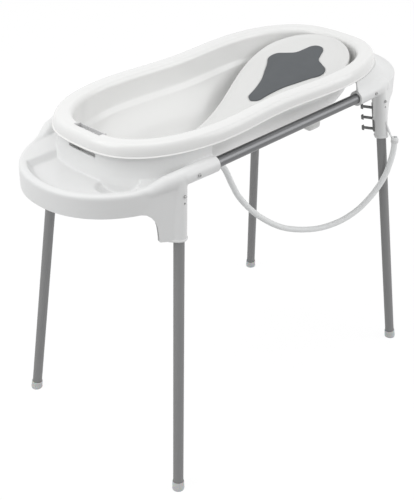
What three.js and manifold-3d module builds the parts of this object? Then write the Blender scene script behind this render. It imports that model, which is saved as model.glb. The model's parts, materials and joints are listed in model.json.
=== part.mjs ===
// Baby bath on a four-legged stand: an oval tub held between two moulded end pieces and two rails,
// with a drop-shaped bath seat, a drain with its hose, and a tray at each end.
// Lengths are millimetres. X runs along the bath to the head end, Y across it and Z up,
// and the origin is on the floor under the middle of the bath.
import * as THREE from 'three';
import { mergeVertices } from 'three/addons/utils/BufferGeometryUtils.js';
import Module from 'manifold-3d';

const wasm = await Module();
wasm.setup();

// Fits shared by all pieces
const fitGap = 0.3;
const cutOver = 4;
const roundSides = 16;

// Bath tub: outline of the rim, its folded lip and the bowl
const rimHeight = 860;
const bathLength = 932;
const bathWidth = 452;
const waistDepth = 27;
const waistSpread = 190;
const outlinePower = 2.85;
const rimBand = 46;
const lipDrop = 29;
const shellWall = 3;
const bathDepth = 173;
const floorInset = 175;
const ledgeDepth = 64;
const ledgeStep = 5;
const bowlPower = 1.75;
const bowlEndShare = 0.3;
const bowlShares = [0.04, 0.082, 0.101, 0.25, 0.45, 0.68, 0.88, 1];
const tubFootX = 250;
const tubFootY = 80;
const tubFootLength = 46;
const tubFootWidth = 30;
const tubFootHeight = 20;

// Stand: tubes, sockets and the two end pieces, with each drop measured down from the rim
const tubeDiameter = 25;
const tubeWall = 1.5;
const footSpanX = 880;
const footSpanY = 554;
const railDrop = 72;
const legSpanX = 717;
const legSpanY = 410;
const railSpanY = 419;
const railReach = 255;
const railInsert = 80;
const legTopDrop = 94;
const postBottomDrop = 209;
const postWall = 5;
const traySpan = 1152;
const trayWidth = 410;
const trayPower = 2.15;
const trayRoot = 330;
const trayCut = 352;
const crestDrop = 81;
const skirtDrop = 134;
const deckDrop = 96;
const crestBand = 20;
const crestFold = 3;
const deckMargin = 26;
const mouldWall = 3;
const saddleWidth = 44;
const innerLip = 10;
const platformSide = 102;

// The wall under the rim at each end: a drop from the rim, then the insets at its sides and at its end
const footSaddle = [[134, -6, 8], [96, -6, 8], [80, 0, 11], [62, 3, 13], [45, 3, 13]];
const headSaddle = [[134, -17, -17], [96, -17, -17], [76, -7, -7], [49, -1, -1], [40, -1, -1]];

// Arm: distance from the middle, from the axis, drop from the rail and radius
const armRadius = 18.8;
const armStations = [
  [255, 209.5, 0, armRadius], [352, 206, 0, armRadius], [392, 196, 5, 17.5],
  [427, 182, 19, 13], [462, 168, 16, 7],
];

// Web from a post to the skirt: rise from the post's bottom, reach of its tail and shrinkage
const webStations = [
  [0, 407, 0], [21, 411, 0], [43, 419, 0], [61, 432, 0], [75, 456, 0], [109, 456, 0], [127, 440, 3],
];
const roofWidth = 452;
const roofShoulderDrop = 63;
const roofEdge = 12;
const roofEdgePower = 4;
const roofPower = 1.9;
const roofShares = [0.03, 0.12, 0.3, 0.5, 0.7, 0.86, 1];

const gripWidth = 88;
const gripHeight = 12;
const gripTopDrop = 6;
const pocketX = 456;
const pocketY = 102;
const pocketDrop = 76;
const pocketAlong = 50;
const pocketAcross = 36;
const pocketDepth = 38;
const capHeight = 22;
const capWall = 1.6;
const capFloor = 4;

// Small fittings of the stand
const buttonDiameter = 7;
const buttonDrop = 36;
const buttonTravel = 3.5;
const buttonProud = 4;
const buttonFlange = 11;
const buttonFlangeThickness = 1;
const springWidth = 9;
const springThickness = 0.8;
const springLength = 60;
const springBack = -9.6;
const releaseHole = 5;
const releaseDrop = 16;
const screwX = 318;
const screwHead = 9;
const screwHeadThickness = 3;
const screwShank = 4.5;
const rackLength = 78;
const rackWidth = 12;
const rackThickness = 3;
const rackDrop = 42;
const rackTurn = -45;
const hookPitch = 30;
const hookReach = 26;
const hookArm = 6;
const hookTip = 15;
const hookCount = 3;

// Drain
const drainX = -127;
const drainHole = 27;
const drainFlange = 44;
const drainFlangeThickness = 3;
const drainBodyDiameter = 24;
const drainBodyWall = 1.7;
const drainBodyLength = 20;
const nozzleDiameter = 12;
const nozzleBore = 8;
const nozzleLength = 26;
const nozzleTurn = -26;
const washerThickness = 2;
const washerDiameter = 36;
const nutThickness = 4;
const nutDiameter = 42;
const nutSides = 6;
const plugDepth = 7;
const plugRim = 30;
const plugRimThickness = 2.5;
const tabHeight = 12;
const tabWidth = 12;
const tabThickness = 3;

// Drain hose: its route is chosen by hand, from the nozzle to the clip at the post, and each
// point has its height measured from the rim
const hoseDiameter = 15.5;
const hoseSides = 10;
const hoseSteps = 32;
const hosePath = [
  [-103.4, -11.5, -189.5], [-89, -18.5, -189.5], [-75, -25.3, -191.5], [-61.4, -32, -197.8],
  [-49.7, -37.7, -207.8], [-40, -42.5, -223], [-31, -46.5, -244], [-22, -50.5, -267],
  [-3, -59, -308], [29, -74, -353], [62, -91, -387], [104, -112, -418],
  [148, -134, -435], [192, -157, -442], [231, -177, -439], [269, -197, -426],
  [304, -215, -403], [332, -229, -373], [353, -240, -341], [368, -248, -307],
  [377, -252.5, -270], [381, -255, -240], [381, -255, -220], [381, -255, -203],
];
const clipBand = 9;
const clipWall = 2;
const clipDrop = 6;
const clipRise = 46;
const clipArmWidth = 5;
const clipBendShare = 0.8;

// Overflow insert in the wall of the foot end
const overflowLength = 86;
const overflowInset = 29;
const overflowWidth = 21;
const overflowFloor = 3;
const overflowWall = 2;
const overflowSlots = 7;

// Bath seat, its mat and its feet
const seatFootX = -80;
const seatHeadX = 409;
const seatWideX = 282;
const seatNarrowX = -61;
const seatWidth = 262;
const seatNarrowWidth = 82;
const seatRoundFoot = 24;
const seatDrop = 121;
const seatSlope = 0.275;
const seatRim = 5;
const seatLip = 16;
const seatSkirt = 16;
const seatWall = 3;
const matThickness = 2.5;
const matLength = 270;
const matFootX = 97;
const matOutlineShares = [
  [1, 0], [0.989, 0.044], [0.952, 0.081], [0.885, 0.107], [0.811, 0.144], [0.763, 0.222],
  [0.722, 0.296], [0.667, 0.326], [0.607, 0.322], [0.53, 0.267], [0.433, 0.211],
  [0.311, 0.141], [0.196, 0.1], [0.115, 0.081], [0.041, 0.063], [0, 0],
];
const seatLegDiameter = 18;
const seatLegPlaces = [[-40, 16], [180, 26]];
const seatPadThickness = 5;
const seatPadDiameter = 17;

const tau = 2 * Math.PI;
const railHeight = rimHeight - railDrop;
const legTopHeight = rimHeight - legTopDrop;
const postBottom = rimHeight - postBottomDrop;
const crestHeight = rimHeight - crestDrop;
const skirtBottom = rimHeight - skirtDrop;
const deckHeight = rimHeight - deckDrop;
const buttonHeight = railHeight - buttonDrop;
const seatHeight = rimHeight - seatDrop;
const hoseRoute = hosePath.map(([x, y, height]) => [x, y, rimHeight + height]);

const group = new THREE.Group();

const paint = (color, roughness, metalness) =>
  new THREE.MeshStandardMaterial({ color, roughness, metalness });
const whitePlastic = paint(0xe6e7e6, 0.32, 0);
const bathPlastic = paint(0xebeae8, 0.28, 0);
const greyPaint = paint(0x7e7f80, 0.45, 0.35);
const railMetal = paint(0xa9abae, 0.3, 0.85);
const capPlastic = paint(0xd4d6d6, 0.5, 0);
const hosePlastic = paint(0xe9eaea, 0.4, 0);
const matRubber = paint(0x64686b, 0.75, 0);
const shadePlastic = paint(0x8d8f8f, 0.5, 0);
const springSteel = paint(0xb4b6b8, 0.35, 0.9);

function addPiece(name, geometry, material) {
  geometry.computeVertexNormals();
  const mesh = new THREE.Mesh(geometry, material);
  mesh.name = name;
  group.add(mesh);
  return mesh;
}

// A closed geometry as a solid for joining and cutting, and back again
function solidOf(geometry) {
  const bare = geometry.clone();
  bare.deleteAttribute('normal');
  bare.deleteAttribute('uv');
  const merged = mergeVertices(bare);
  return new wasm.Manifold(new wasm.Mesh({
    numProp: 3,
    vertProperties: Float32Array.from(merged.attributes.position.array),
    triVerts: Uint32Array.from(merged.index.array),
  }));
}

function geometryOf(solid) {
  const mesh = solid.getMesh();
  const geometry = new THREE.BufferGeometry();
  geometry.setAttribute('position', new THREE.BufferAttribute(mesh.vertProperties, 3));
  geometry.setIndex(new THREE.BufferAttribute(mesh.triVerts, 1));
  return geometry;
}

const joined = (...solids) => solids.reduce((sum, next) => sum.add(next));
const cutBy = (solid, ...tools) => tools.reduce((rest, tool) => rest.subtract(tool), solid);

// A closed skin over a stack of rings with equal point counts, with a fan over each end.
// The rings run anticlockwise seen from above and the stack starts with the lowest ring of the outside.
function skin(rings) {
  const count = rings[0].length;
  const points = rings.flat();
  const faces = [];
  for (let row = 0; row + 1 < rings.length; row += 1) {
    for (let i = 0; i < count; i += 1) {
      const a = row * count + i;
      const b = row * count + ((i + 1) % count);
      faces.push(a, b, b + count, a, b + count, a + count);
    }
  }
  const lastRow = (rings.length - 1) * count;
  const middles = [rings[0], rings[rings.length - 1]].map((ring) =>
    ring.reduce((sum, point) => sum.add(point), new THREE.Vector3()).divideScalar(count));
  const first = points.length;
  points.push(...middles);
  for (let i = 0; i < count; i += 1) {
    const next = (i + 1) % count;
    faces.push(first, next, i);
    faces.push(first + 1, lastRow + i, lastRow + next);
  }
  const geometry = new THREE.BufferGeometry().setFromPoints(points);
  geometry.setIndex(faces);
  return geometry;
}

// A prism over a flat outline between two heights, and a round rod or ring about the Z axis
function prism(outline, low, high) {
  return skin([low, high].map((z) => outline.map(([x, y]) => new THREE.Vector3(x, y, z))));
}

function rod(radius, low, high, sides = roundSides) {
  const geometry = new THREE.CylinderGeometry(radius, radius, high - low, sides);
  return geometry.rotateX(Math.PI / 2).translate(0, 0, (low + high) / 2);
}

function turned(profile, sides = roundSides) {
  const points = profile.map(([r, z]) => new THREE.Vector2(r, z));
  return new THREE.LatheGeometry(points, sides).rotateX(Math.PI / 2);
}

function block(low, high) {
  const size = high.map((value, i) => value - low[i]);
  const middle = high.map((value, i) => (value + low[i]) / 2);
  return new THREE.BoxGeometry(...size).translate(...middle);
}

const bend = (value, exponent) => Math.sign(value) * Math.abs(value) ** (2 / exponent);
const mix = (a, b, share) => a + (b - a) * share;
const smooth = (low, high, value) => THREE.MathUtils.smoothstep(value, low, high);

// Bath outline: a rounded oblong with a slight waist, drawn in by an inset
const bathSides = 48;

function bathPoint(angle, inset, endInset) {
  const [across, along] = [Math.sin(angle), Math.cos(angle)];
  const reach = (Math.abs(along) ** outlinePower + Math.abs(across) ** outlinePower) ** (-1 / outlinePower);
  const x = (bathLength / 2 - endInset) * reach * along;
  const waist = waistDepth * Math.exp(-((x / waistSpread) ** 2));
  return [x, (bathWidth / 2 - inset - waist) * reach * across];
}

function bathOutline(inset, endInset = inset) {
  return Array.from({ length: bathSides }, (_, i) => bathPoint((i / bathSides) * tau, inset, endInset));
}

function bathRing(inset, z, endInset = inset) {
  return bathOutline(inset, endInset).map(([x, y]) => new THREE.Vector3(x, y, z));
}

// The bowl's end walls stand steeper than its sides
const bowlEnd = (inset) => rimBand + (inset - rimBand) * bowlEndShare;
const bowlRing = (inset, z) => bathRing(inset, z, bowlEnd(inset));

const lipHeight = rimHeight - lipDrop;
const floorHeight = rimHeight - bathDepth;
const bowlTop = rimHeight - lipDrop / 2;

// Height of the bowl's wall at an inset, from the rim's inner edge down to the floor
function bowlHeight(inset) {
  const share = THREE.MathUtils.clamp((inset - rimBand) / (floorInset - rimBand), 0, 1);
  const drop = (1 - (1 - share) ** bowlPower) ** (1 / bowlPower);
  return mix(bowlTop, floorHeight, drop);
}

function makeTub() {
  const ledgeHeight = rimHeight - ledgeDepth;
  const wall = bowlShares.map((share) => {
    const inset = mix(rimBand, floorInset, share);
    const z = bowlHeight(inset);
    const step = ledgeStep * (1 - smooth(ledgeHeight - shellWall, ledgeHeight + shellWall, z));
    return { share, inset: inset + step * (1 - share), z };
  });
  const inside = wall.map(({ inset, z }) => bowlRing(inset, z));
  const outside = wall.filter((_, i) => i !== 1).reverse()
    .map(({ share, inset, z }) => bowlRing(inset - shellWall, z - shellWall * share));
  const rimRound = rimBand / 4;
  const rim = [
    [rimBand - shellWall, bowlTop],
    [rimBand - shellWall * 2, rimHeight - shellWall * 2],
    [rimRound + shellWall, rimHeight - shellWall],
    [shellWall * 2, rimHeight - shellWall * 3],
    [shellWall, lipHeight],
    [0, lipHeight],
    [0, lipHeight + lipDrop / 2],
    [rimRound / 4, rimHeight - rimRound / 2],
    [rimRound, rimHeight],
    [rimBand - rimRound, rimHeight - shellWall / 2],
    [rimBand - shellWall / 2, rimHeight - shellWall],
    [rimBand, bowlTop],
  ].map(([inset, z]) => bathRing(inset, z));
  const shell = solidOf(skin([...outside, ...rim, ...inside]));
  const feet = corners.map(([sx, sy]) => {
    const low = [sx * tubFootX - tubFootLength / 2, sy * tubFootY - tubFootWidth / 2];
    const high = [sx * tubFootX + tubFootLength / 2, sy * tubFootY + tubFootWidth / 2];
    return solidOf(block([...low, floorHeight - tubFootHeight], [...high, floorHeight + tubFootY / 2]));
  });
  const inner = solidOf(skin([
    ...wall.slice().reverse().map(({ inset, z }) => bowlRing(inset - shellWall / 2, z - shellWall / 2)),
    bathRing(rimBand - shellWall / 2, rimHeight + cutOver),
  ]));
  const hole = solidOf(rod(drainHole / 2, floorHeight - tubFootHeight, rimHeight).translate(drainX, 0, 0));
  const notch = solidOf(overflowBox(0, bowlTop, rimHeight + cutOver));
  return cutBy(joined(shell, cutBy(joined(...feet), inner)), hole, notch);
}

// Overflow: a notch in the inner edge of the rim at the foot end, lined by a small grille
function overflowBox(gap, bottom, top) {
  const x = overflowInset - bathLength / 2;
  const half = overflowLength / 2 - gap;
  return block([x + gap, -half, bottom], [x + overflowWidth - gap, half, top]);
}

const corners = [[-1, -1], [1, -1], [-1, 1], [1, 1]];

// Leg axis of a corner: a frame at the floor whose Z runs up the leg
function legFrame(sx, sy) {
  const foot = new THREE.Vector3(sx * footSpanX / 2, sy * footSpanY / 2, 0);
  const top = new THREE.Vector3(sx * legSpanX / 2, sy * legSpanY / 2, railHeight);
  const up = top.clone().sub(foot).normalize();
  const turn = new THREE.Quaternion().setFromUnitVectors(new THREE.Vector3(0, 0, 1), up);
  return new THREE.Matrix4().compose(foot, turn, new THREE.Vector3(1, 1, 1));
}

const legRise = Math.hypot((footSpanX - legSpanX) / 2, (footSpanY - legSpanY) / 2, railHeight);
const legScale = legRise / railHeight;

function legPoint(sx, sy, height) {
  return new THREE.Vector3(0, 0, height * legScale).applyMatrix4(legFrame(sx, sy));
}

// End piece: tray ring points of the D-shaped outline, for the foot end
const traySteps = 20;

function trayRing(inset, height, rootInset = 0) {
  return Array.from({ length: traySteps + 1 }, (_, i) => {
    const angle = mix(Math.PI / 2, 1.5 * Math.PI, i / traySteps);
    const reach = traySpan / 2 - inset - trayRoot;
    const x = -trayRoot - rootInset + (reach - rootInset) * bend(Math.cos(angle), trayPower);
    return new THREE.Vector3(x, (trayWidth / 2 - inset) * bend(Math.sin(angle), trayPower), height);
  });
}

// Half width of the tray at a distance from the middle of the bath
function trayHalfWidth(x) {
  const share = (x - trayRoot) / (traySpan / 2 - trayRoot);
  return (trayWidth / 2) * (1 - share ** trayPower) ** (1 / trayPower);
}

// Head end's roof: a ring part of the way from its outer edge to the rim of the bath
function roofRing(share, drop, wall = 0) {
  const along = railReach / (bathLength / 2);
  const start = Math.atan2((1 - along ** outlinePower) ** (1 / outlinePower), -along);
  return Array.from({ length: traySteps + 1 }, (_, i) => {
    const angle = mix(Math.PI / 2, 1.5 * Math.PI, i / traySteps);
    const reach = traySpan / 2 - railReach - wall;
    const x = reach * bend(Math.cos(angle), trayPower) - railReach;
    const y = (roofWidth / 2 - wall) * bend(Math.sin(angle), trayPower);
    const shoulder = rimHeight - roofShoulderDrop;
    const edge = mix(crestHeight, shoulder, Math.abs(Math.sin(angle)) ** roofEdgePower);
    const [rimX, rimY] = bathPoint(mix(start, tau - start, i / traySteps), wall, wall);
    const height = mix(edge, saddleTop, share ** roofPower) - drop - wall;
    return new THREE.Vector3(mix(x, rimX, share), mix(y, rimY, share), height);
  });
}

const tubeRadius = tubeDiameter / 2;
const socketRadius = tubeRadius + fitGap;
const postRadius = socketRadius + postWall;
const saddleTop = lipHeight - fitGap;
const scoopSides = 12;

// The post's plan at a height: a round that draws out to a tail in the tray's skirt
function webRing(sy, [rise, tailX, shrink], wall) {
  const height = postBottom + rise;
  const centre = legPoint(-1, sy, height);
  const tail = new THREE.Vector3(-tailX, sy * trayHalfWidth(tailX), height).sub(centre);
  const heading = Math.atan2(tail.y, tail.x);
  const round = postRadius - shrink - wall;
  const tangent = Math.acos(round / (tail.length() - shrink - wall));
  return Array.from({ length: roundSides }, (_, i) => {
    const angle = (i / roundSides) * tau - Math.PI;
    const away = round / Math.cos(Math.max(0, tangent - Math.abs(angle)));
    return new THREE.Vector3(Math.cos(angle + heading), Math.sin(angle + heading), 0)
      .multiplyScalar(away).add(centre);
  });
}

// The wall under the rim, one wall thickness inside its outer face for the hollow
function saddleSkin(stations, wall) {
  const rings = stations.map(([drop, side, end]) => bathRing(side + wall, rimHeight - drop - wall, end + wall));
  const [, side, end] = stations[stations.length - 1];
  const [, lowSide, lowEnd] = stations[0];
  return skin([
    ...(wall > 0 ? [bathRing(lowSide + wall, 0, lowEnd + wall)] : []), ...rings,
    bathRing(side + wall, saddleTop - wall, end + wall),
  ]);
}

function makeEnd(roofed) {
  const beyond = traySpan / 2 + cutOver;
  const half = footSpanY / 2 + cutOver;
  const sides = [-1, 1];
  const wall = mouldWall;
  const walls = roofed ? headSaddle : footSaddle;
  const wholeTray = solidOf(skin([
    trayRing(0, skirtBottom),
    trayRing(0, crestHeight - crestBand),
    trayRing(0, crestHeight - crestFold * 2),
    trayRing(crestFold, crestHeight - crestFold),
    trayRing(crestBand / 2, crestHeight),
  ]));
  const roof = (inset, base) => solidOf(skin([
    roofRing(0, base, inset), ...roofShares.map((share) => roofRing(share, 0, inset)),
  ]));
  const recess = solidOf(skin([
    trayRing(deckMargin, deckHeight),
    trayRing(crestBand + crestFold, (deckHeight + crestHeight) / 2),
    trayRing(crestBand - crestFold * 2, crestHeight),
    trayRing(crestBand - crestFold * 2, crestHeight + cutOver),
  ]));
  const platform = solidOf(block([-beyond, platformSide, 0], [0, half, rimHeight]));
  const saddle = solidOf(saddleSkin(walls, 0));
  const lowPart = solidOf(block([-beyond, -half, 0], [-trayCut, half, rimHeight]));
  const highPart = solidOf(block([-beyond, -half, railHeight], [-railReach, half, rimHeight]));
  const body = joined(
    (roofed ? wholeTray : cutBy(wholeTray, cutBy(recess, platform))).intersect(lowPart),
    (roofed ? joined(saddle, roof(0, roofEdge)) : saddle).intersect(joined(lowPart, highPart)),
  );

  // The hollow under the deck and the saddle, one wall inside the outer faces
  const trayHollow = solidOf(skin([
    trayRing(wall, 0, wall),
    trayRing(wall, deckHeight - crestBand / 2, wall),
    trayRing(crestBand / 2, deckHeight - wall, wall),
  ]));
  const saddleHollow = solidOf(saddleSkin(walls, wall));
  const innerBand = solidOf(prism(bathOutline(saddleWidth - wall), saddleTop - innerLip, rimHeight));
  const lowHollow = solidOf(block([-beyond, -half, -cutOver], [cutOver - trayCut, half, rimHeight]));
  const highHollow = solidOf(
    block([-beyond, -half, railHeight - cutOver], [cutOver - railReach, half, rimHeight]));
  const under = roofed ? joined(saddleHollow, roof(wall, crestHeight)) : saddleHollow;
  const hollow = cutBy(joined(
    trayHollow.intersect(lowHollow),
    under.intersect(joined(lowHollow, highHollow)),
  ), innerBand);

  // Arms run from the rails into the crest, and the posts draw out into the skirt
  const arm = (sy) => solidOf(skin(armStations.map(([x, y, drop, radius]) =>
    Array.from({ length: roundSides }, (_, i) => {
      const angle = -(i / roundSides) * tau;
      const z = railHeight - drop + radius * Math.sin(angle);
      return new THREE.Vector3(-x, sy * y + radius * Math.cos(angle), z);
    }))));
  const web = (sy) => solidOf(skin(webStations.map((station) => webRing(sy, station, 0))));
  const webHollow = (sy) => {
    const rings = webStations.slice(0, -1).map((station) => webRing(sy, station, wall));
    const below = rings[0].map((point) => new THREE.Vector3(point.x, point.y, postBottom - postWall));
    return solidOf(skin([below, ...rings]));
  };
  const post = (sy) => {
    const low = postBottom * legScale;
    return solidOf(rod(postRadius, low, railHeight * legScale).applyMatrix4(legFrame(-1, sy)))
      .add(solidOf(rod(postRadius + wall / 2, low, low + postWall).applyMatrix4(legFrame(-1, sy))));
  };
  const scoop = (grow) => {
    const ball = new THREE.SphereGeometry(1, scoopSides, scoopSides / 2).rotateX(Math.PI / 2);
    ball.scale(pocketAcross + grow, pocketAlong + grow, pocketDepth + grow);
    const turn = Math.atan2(pocketY, pocketX) * 2;
    return solidOf(ball.rotateZ(turn).translate(-pocketX, -pocketY, rimHeight - pocketDrop));
  };
  const pocketShell = roofed ? [] : [scoop(wall).intersect(body)];
  const pocket = roofed ? [] : [cutBy(scoop(0), saddle)];
  const cavity = solidOf(prism(bathOutline(saddleWidth), 0, rimHeight + cutOver));
  const railBore = (sy) => {
    const bore = rod(socketRadius, -cutOver, railInsert + fitGap).rotateY(-Math.PI / 2);
    return solidOf(bore.translate(-railReach, sy * railSpanY / 2, railHeight));
  };
  const legBore = (sy) => solidOf(
    rod(socketRadius, 0, legTopHeight * legScale + fitGap).applyMatrix4(legFrame(-1, sy)));
  const gripTop = saddleTop - gripTopDrop;
  const grip = solidOf(block([-beyond, -gripWidth / 2, gripTop - gripHeight],
    [-bathLength / 2 + saddleWidth / 2, gripWidth / 2, gripTop]));
  const shell = cutBy(joined(body, ...sides.map(web)), hollow, ...sides.map(webHollow));
  return cutBy(
    joined(shell, ...pocketShell, ...sides.map(arm), ...sides.map(post)),
    cavity, grip, ...pocket, ...sides.map(railBore), ...sides.map(legBore),
    ...sides.flatMap((sy) => [buttonHole, releaseCut, screwCut].map((cut) => cut(-1, sy))),
  );
}

// A pin's shape along Z turned outward across the leg at a height, at right angles to the leg
function acrossLeg(shape, height, sx, sy) {
  return shape.rotateX(sy > 0 ? -Math.PI / 2 : Math.PI / 2)
    .translate(0, 0, height * legScale).applyMatrix4(legFrame(sx, sy));
}

const buttonBore = buttonDiameter / 2 + fitGap;
const postReach = postRadius + cutOver;
const buttonHole = (sx, sy) => solidOf(
  acrossLeg(rod(buttonBore, 0, postReach, roundSides / 2), buttonHeight, sx, sy));
const releaseCut = (sx, sy) => {
  const hole = rod(releaseHole / 2, socketRadius - shellWall, postReach, roundSides / 2);
  return solidOf(acrossLeg(hole, buttonHeight - releaseDrop, sx, sy));
};

// A shape along Z turned outward across a rail at its screw
function acrossRail(shape, sx, sy) {
  return shape.rotateX(sy > 0 ? -Math.PI / 2 : Math.PI / 2)
    .translate(sx * screwX, sy * railSpanY / 2, railHeight);
}

const screwCut = (sx, sy) => {
  const cut = turned([
    [0, 0], [screwShank / 2 + fitGap, 0], [screwShank / 2 + fitGap, armRadius - screwHeadThickness],
    [screwHead / 2 + fitGap, armRadius - screwHeadThickness], [screwHead / 2 + fitGap, armRadius + cutOver],
    [0, armRadius + cutOver],
  ], roundSides / 2);
  return solidOf(acrossRail(cut, sx, sy));
};

// A tube along Z, open at both ends
function pipe(outer, inner, low, high, sides = roundSides) {
  return turned([[outer, low], [outer, high], [inner, high], [inner, low], [outer, low]], sides);
}

// Leg: a straight tube with the button's hole near its top
const legLow = capFloor + fitGap;

function makeLeg(sx, sy) {
  const tube = pipe(tubeRadius, tubeRadius - tubeWall, legLow, legTopHeight * legScale);
  return cutBy(solidOf(tube.applyMatrix4(legFrame(sx, sy))), buttonHole(sx, sy));
}

// Foot cap: a cup on the end of the leg, its sole cut level with the floor
function makeCap(sx, sy) {
  const outer = socketRadius + capWall;
  const cup = turned([
    [0, -capFloor], [outer - capWall * 2, -capFloor], [outer, capFloor], [outer, capHeight],
    [socketRadius, capHeight], [socketRadius, capFloor], [0, capFloor],
  ]);
  const ground = block([-footSpanX, -footSpanX, -footSpanX], [footSpanX, footSpanX, 0]);
  return cutBy(solidOf(cup.applyMatrix4(legFrame(sx, sy))), solidOf(ground));
}

// Snap button: a domed pin with a flange and a leaf inside the leg, and the bent leaf behind it
const boreRadius = tubeRadius - tubeWall;
const flangeFace = Math.sqrt(boreRadius ** 2 - (buttonFlange / 2) ** 2) - fitGap;
const leafFace = flangeFace - buttonFlangeThickness;

function makeButton(sx, sy) {
  const top = postRadius + buttonProud;
  const r = buttonDiameter / 2;
  const leafBack = leafFace - springThickness;
  const pin = turned([
    [0, leafBack], [buttonFlange / 2, leafBack], [buttonFlange / 2, flangeFace], [r, flangeFace],
    [r, top - r / 2], [r - r / 4, top - r / 6], [0, top],
  ], roundSides / 2);
  const leaf = block([-springWidth / 2, -springWidth / 2, leafBack], [springWidth / 2, springLength, leafFace]);
  const button = geometryOf(joined(solidOf(pin), solidOf(leaf)));
  return acrossLeg(sy > 0 ? button : button.rotateZ(Math.PI), buttonHeight, sx, sy);
}

function makeSpring(sx, sy) {
  const t = springThickness;
  const low = -springLength - fitGap;
  const back = springBack;
  const outline = [
    [leafFace, low], [back / 2 + t, low], [back + t, springWidth], [back, springWidth], [back / 2, low - t],
    [leafFace, low - t],
  ];
  const shape = new THREE.Shape(outline.map(([y, z]) => new THREE.Vector2(y, z)));
  const strip = new THREE.ExtrudeGeometry(shape, { depth: springWidth, bevelEnabled: false });
  const upright = new THREE.Matrix4().makeBasis(
    new THREE.Vector3(0, sy, 0), new THREE.Vector3(0, 0, 1), new THREE.Vector3(sy, 0, 0));
  strip.translate(0, 0, -springWidth / 2).applyMatrix4(upright);
  return strip.translate(0, 0, buttonHeight * legScale).applyMatrix4(legFrame(sx, sy));
}

// Rails and their screws
function makeRail(sy) {
  const end = railReach + railInsert;
  const tube = pipe(tubeRadius, tubeRadius - tubeWall, -end, end).rotateY(Math.PI / 2);
  const placed = solidOf(tube.translate(0, sy * railSpanY / 2, railHeight));
  const hole = (sx) => solidOf(
    acrossRail(rod(screwShank / 2 + fitGap, 0, tubeRadius + cutOver, roundSides / 2), sx, sy));
  return cutBy(placed, hole(-1), hole(1));
}

function makeScrew(sx, sy) {
  const seat = armRadius - screwHeadThickness + fitGap;
  const tip = boreRadius - screwHeadThickness;
  const r = screwShank / 2;
  const head = screwHead / 2;
  const screw = turned([
    [0, tip], [r, tip], [r, seat], [head, seat], [head, armRadius - fitGap * 2],
    [head - fitGap * 2, armRadius], [0, armRadius],
  ], roundSides / 2);
  return acrossRail(screw, sx, sy);
}

// Hook rack: a strip on the inner side of the head end's near post, with forked hooks that rise
function makeRack() {
  const high = (railHeight - rackDrop) * legScale;
  const low = high - rackLength * legScale;
  const face = postRadius + rackThickness;
  const strip = solidOf(block([-face, -rackWidth / 2, low], [-socketRadius, rackWidth / 2, high]));
  const a = hookArm / 2;
  const rise = hookReach / 4;
  const outline = [
    [0, -a], [hookReach - a, rise - a], [hookReach - a, rise - hookTip / 2], [hookReach + a, rise - hookTip / 3],
    [hookReach + a, rise + hookTip / 3], [hookReach - a, rise + hookTip / 2], [hookReach - a, rise + a],
    [0, a],
  ];
  const shape = new THREE.Shape(outline.map(([x, y]) => new THREE.Vector2(x, y)));
  const hooks = Array.from({ length: hookCount }, (_, index) => {
    const fork = new THREE.ExtrudeGeometry(shape, { depth: hookArm, bevelEnabled: false });
    fork.translate(0, 0, -a).rotateX(Math.PI / 2).rotateZ(Math.PI);
    return solidOf(fork.translate(fitGap - face, 0, high - hookArm * 2 - index * hookPitch));
  });
  const post = solidOf(rod(postRadius + fitGap, 0, high + cutOver));
  const rack = geometryOf(cutBy(joined(strip, ...hooks), post));
  return rack.rotateZ(THREE.MathUtils.degToRad(rackTurn)).applyMatrix4(legFrame(1, -1));
}

// Drain: flanged outlet with a nozzle, washer and nut under the floor, and the plug
const floorTop = floorHeight + fitGap;
const floorUnder = floorHeight - shellWall;
const flangeTop = floorTop + drainFlangeThickness;
const bodyBottom = floorUnder - drainBodyLength;
const nozzleZ = hoseRoute[0][2];
const plugRadius = drainBodyDiameter / 2 - drainBodyWall - fitGap;

function makeOutlet() {
  const r = drainBodyDiameter / 2;
  const inner = r - drainBodyWall;
  const cup = turned([
    [0, bodyBottom], [r, bodyBottom], [r, floorTop], [drainFlange / 2, floorTop],
    [drainFlange / 2, flangeTop - drainFlangeThickness / 2],
    [drainFlange / 2 - drainFlangeThickness, flangeTop],
    [inner, flangeTop], [inner, bodyBottom + drainBodyWall], [0, bodyBottom + drainBodyWall],
  ]);
  const tilt = (geometry) => solidOf(geometry.rotateY(Math.PI / 2)
    .rotateZ(THREE.MathUtils.degToRad(nozzleTurn)).translate(0, 0, nozzleZ));
  const nozzle = tilt(rod(nozzleDiameter / 2, inner + drainBodyWall / 2, nozzleLength, roundSides / 2));
  const bore = tilt(rod(nozzleBore / 2, 0, nozzleLength + cutOver, roundSides / 2));
  return cutBy(joined(solidOf(cup), nozzle), bore).translate([drainX, 0, 0]);
}

const washerTop = floorUnder - fitGap;
const nutTop = washerTop - washerThickness - fitGap;
const drainBore = drainBodyDiameter / 2 + fitGap;

function makeNut() {
  const hexagon = solidOf(rod(nutDiameter / 2, nutTop - nutThickness, nutTop, nutSides));
  return cutBy(hexagon, solidOf(rod(drainBore, 0, rimHeight))).translate([drainX, 0, 0]);
}

function makePlug() {
  const low = flangeTop + fitGap;
  const rim = plugRim / 2;
  const stopper = turned([
    [0, low - plugDepth], [plugRadius, low - plugDepth], [plugRadius, low], [rim, low],
    [rim, low + plugRimThickness / 2], [rim - plugRimThickness, low + plugRimThickness],
    [0, low + plugRimThickness],
  ]);
  const tab = block([-tabThickness / 2, -tabWidth / 2, low],
    [tabThickness / 2, tabWidth / 2, low + plugRimThickness + tabHeight]);
  return joined(solidOf(stopper), solidOf(tab)).translate([drainX, 0, 0]);
}

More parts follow.
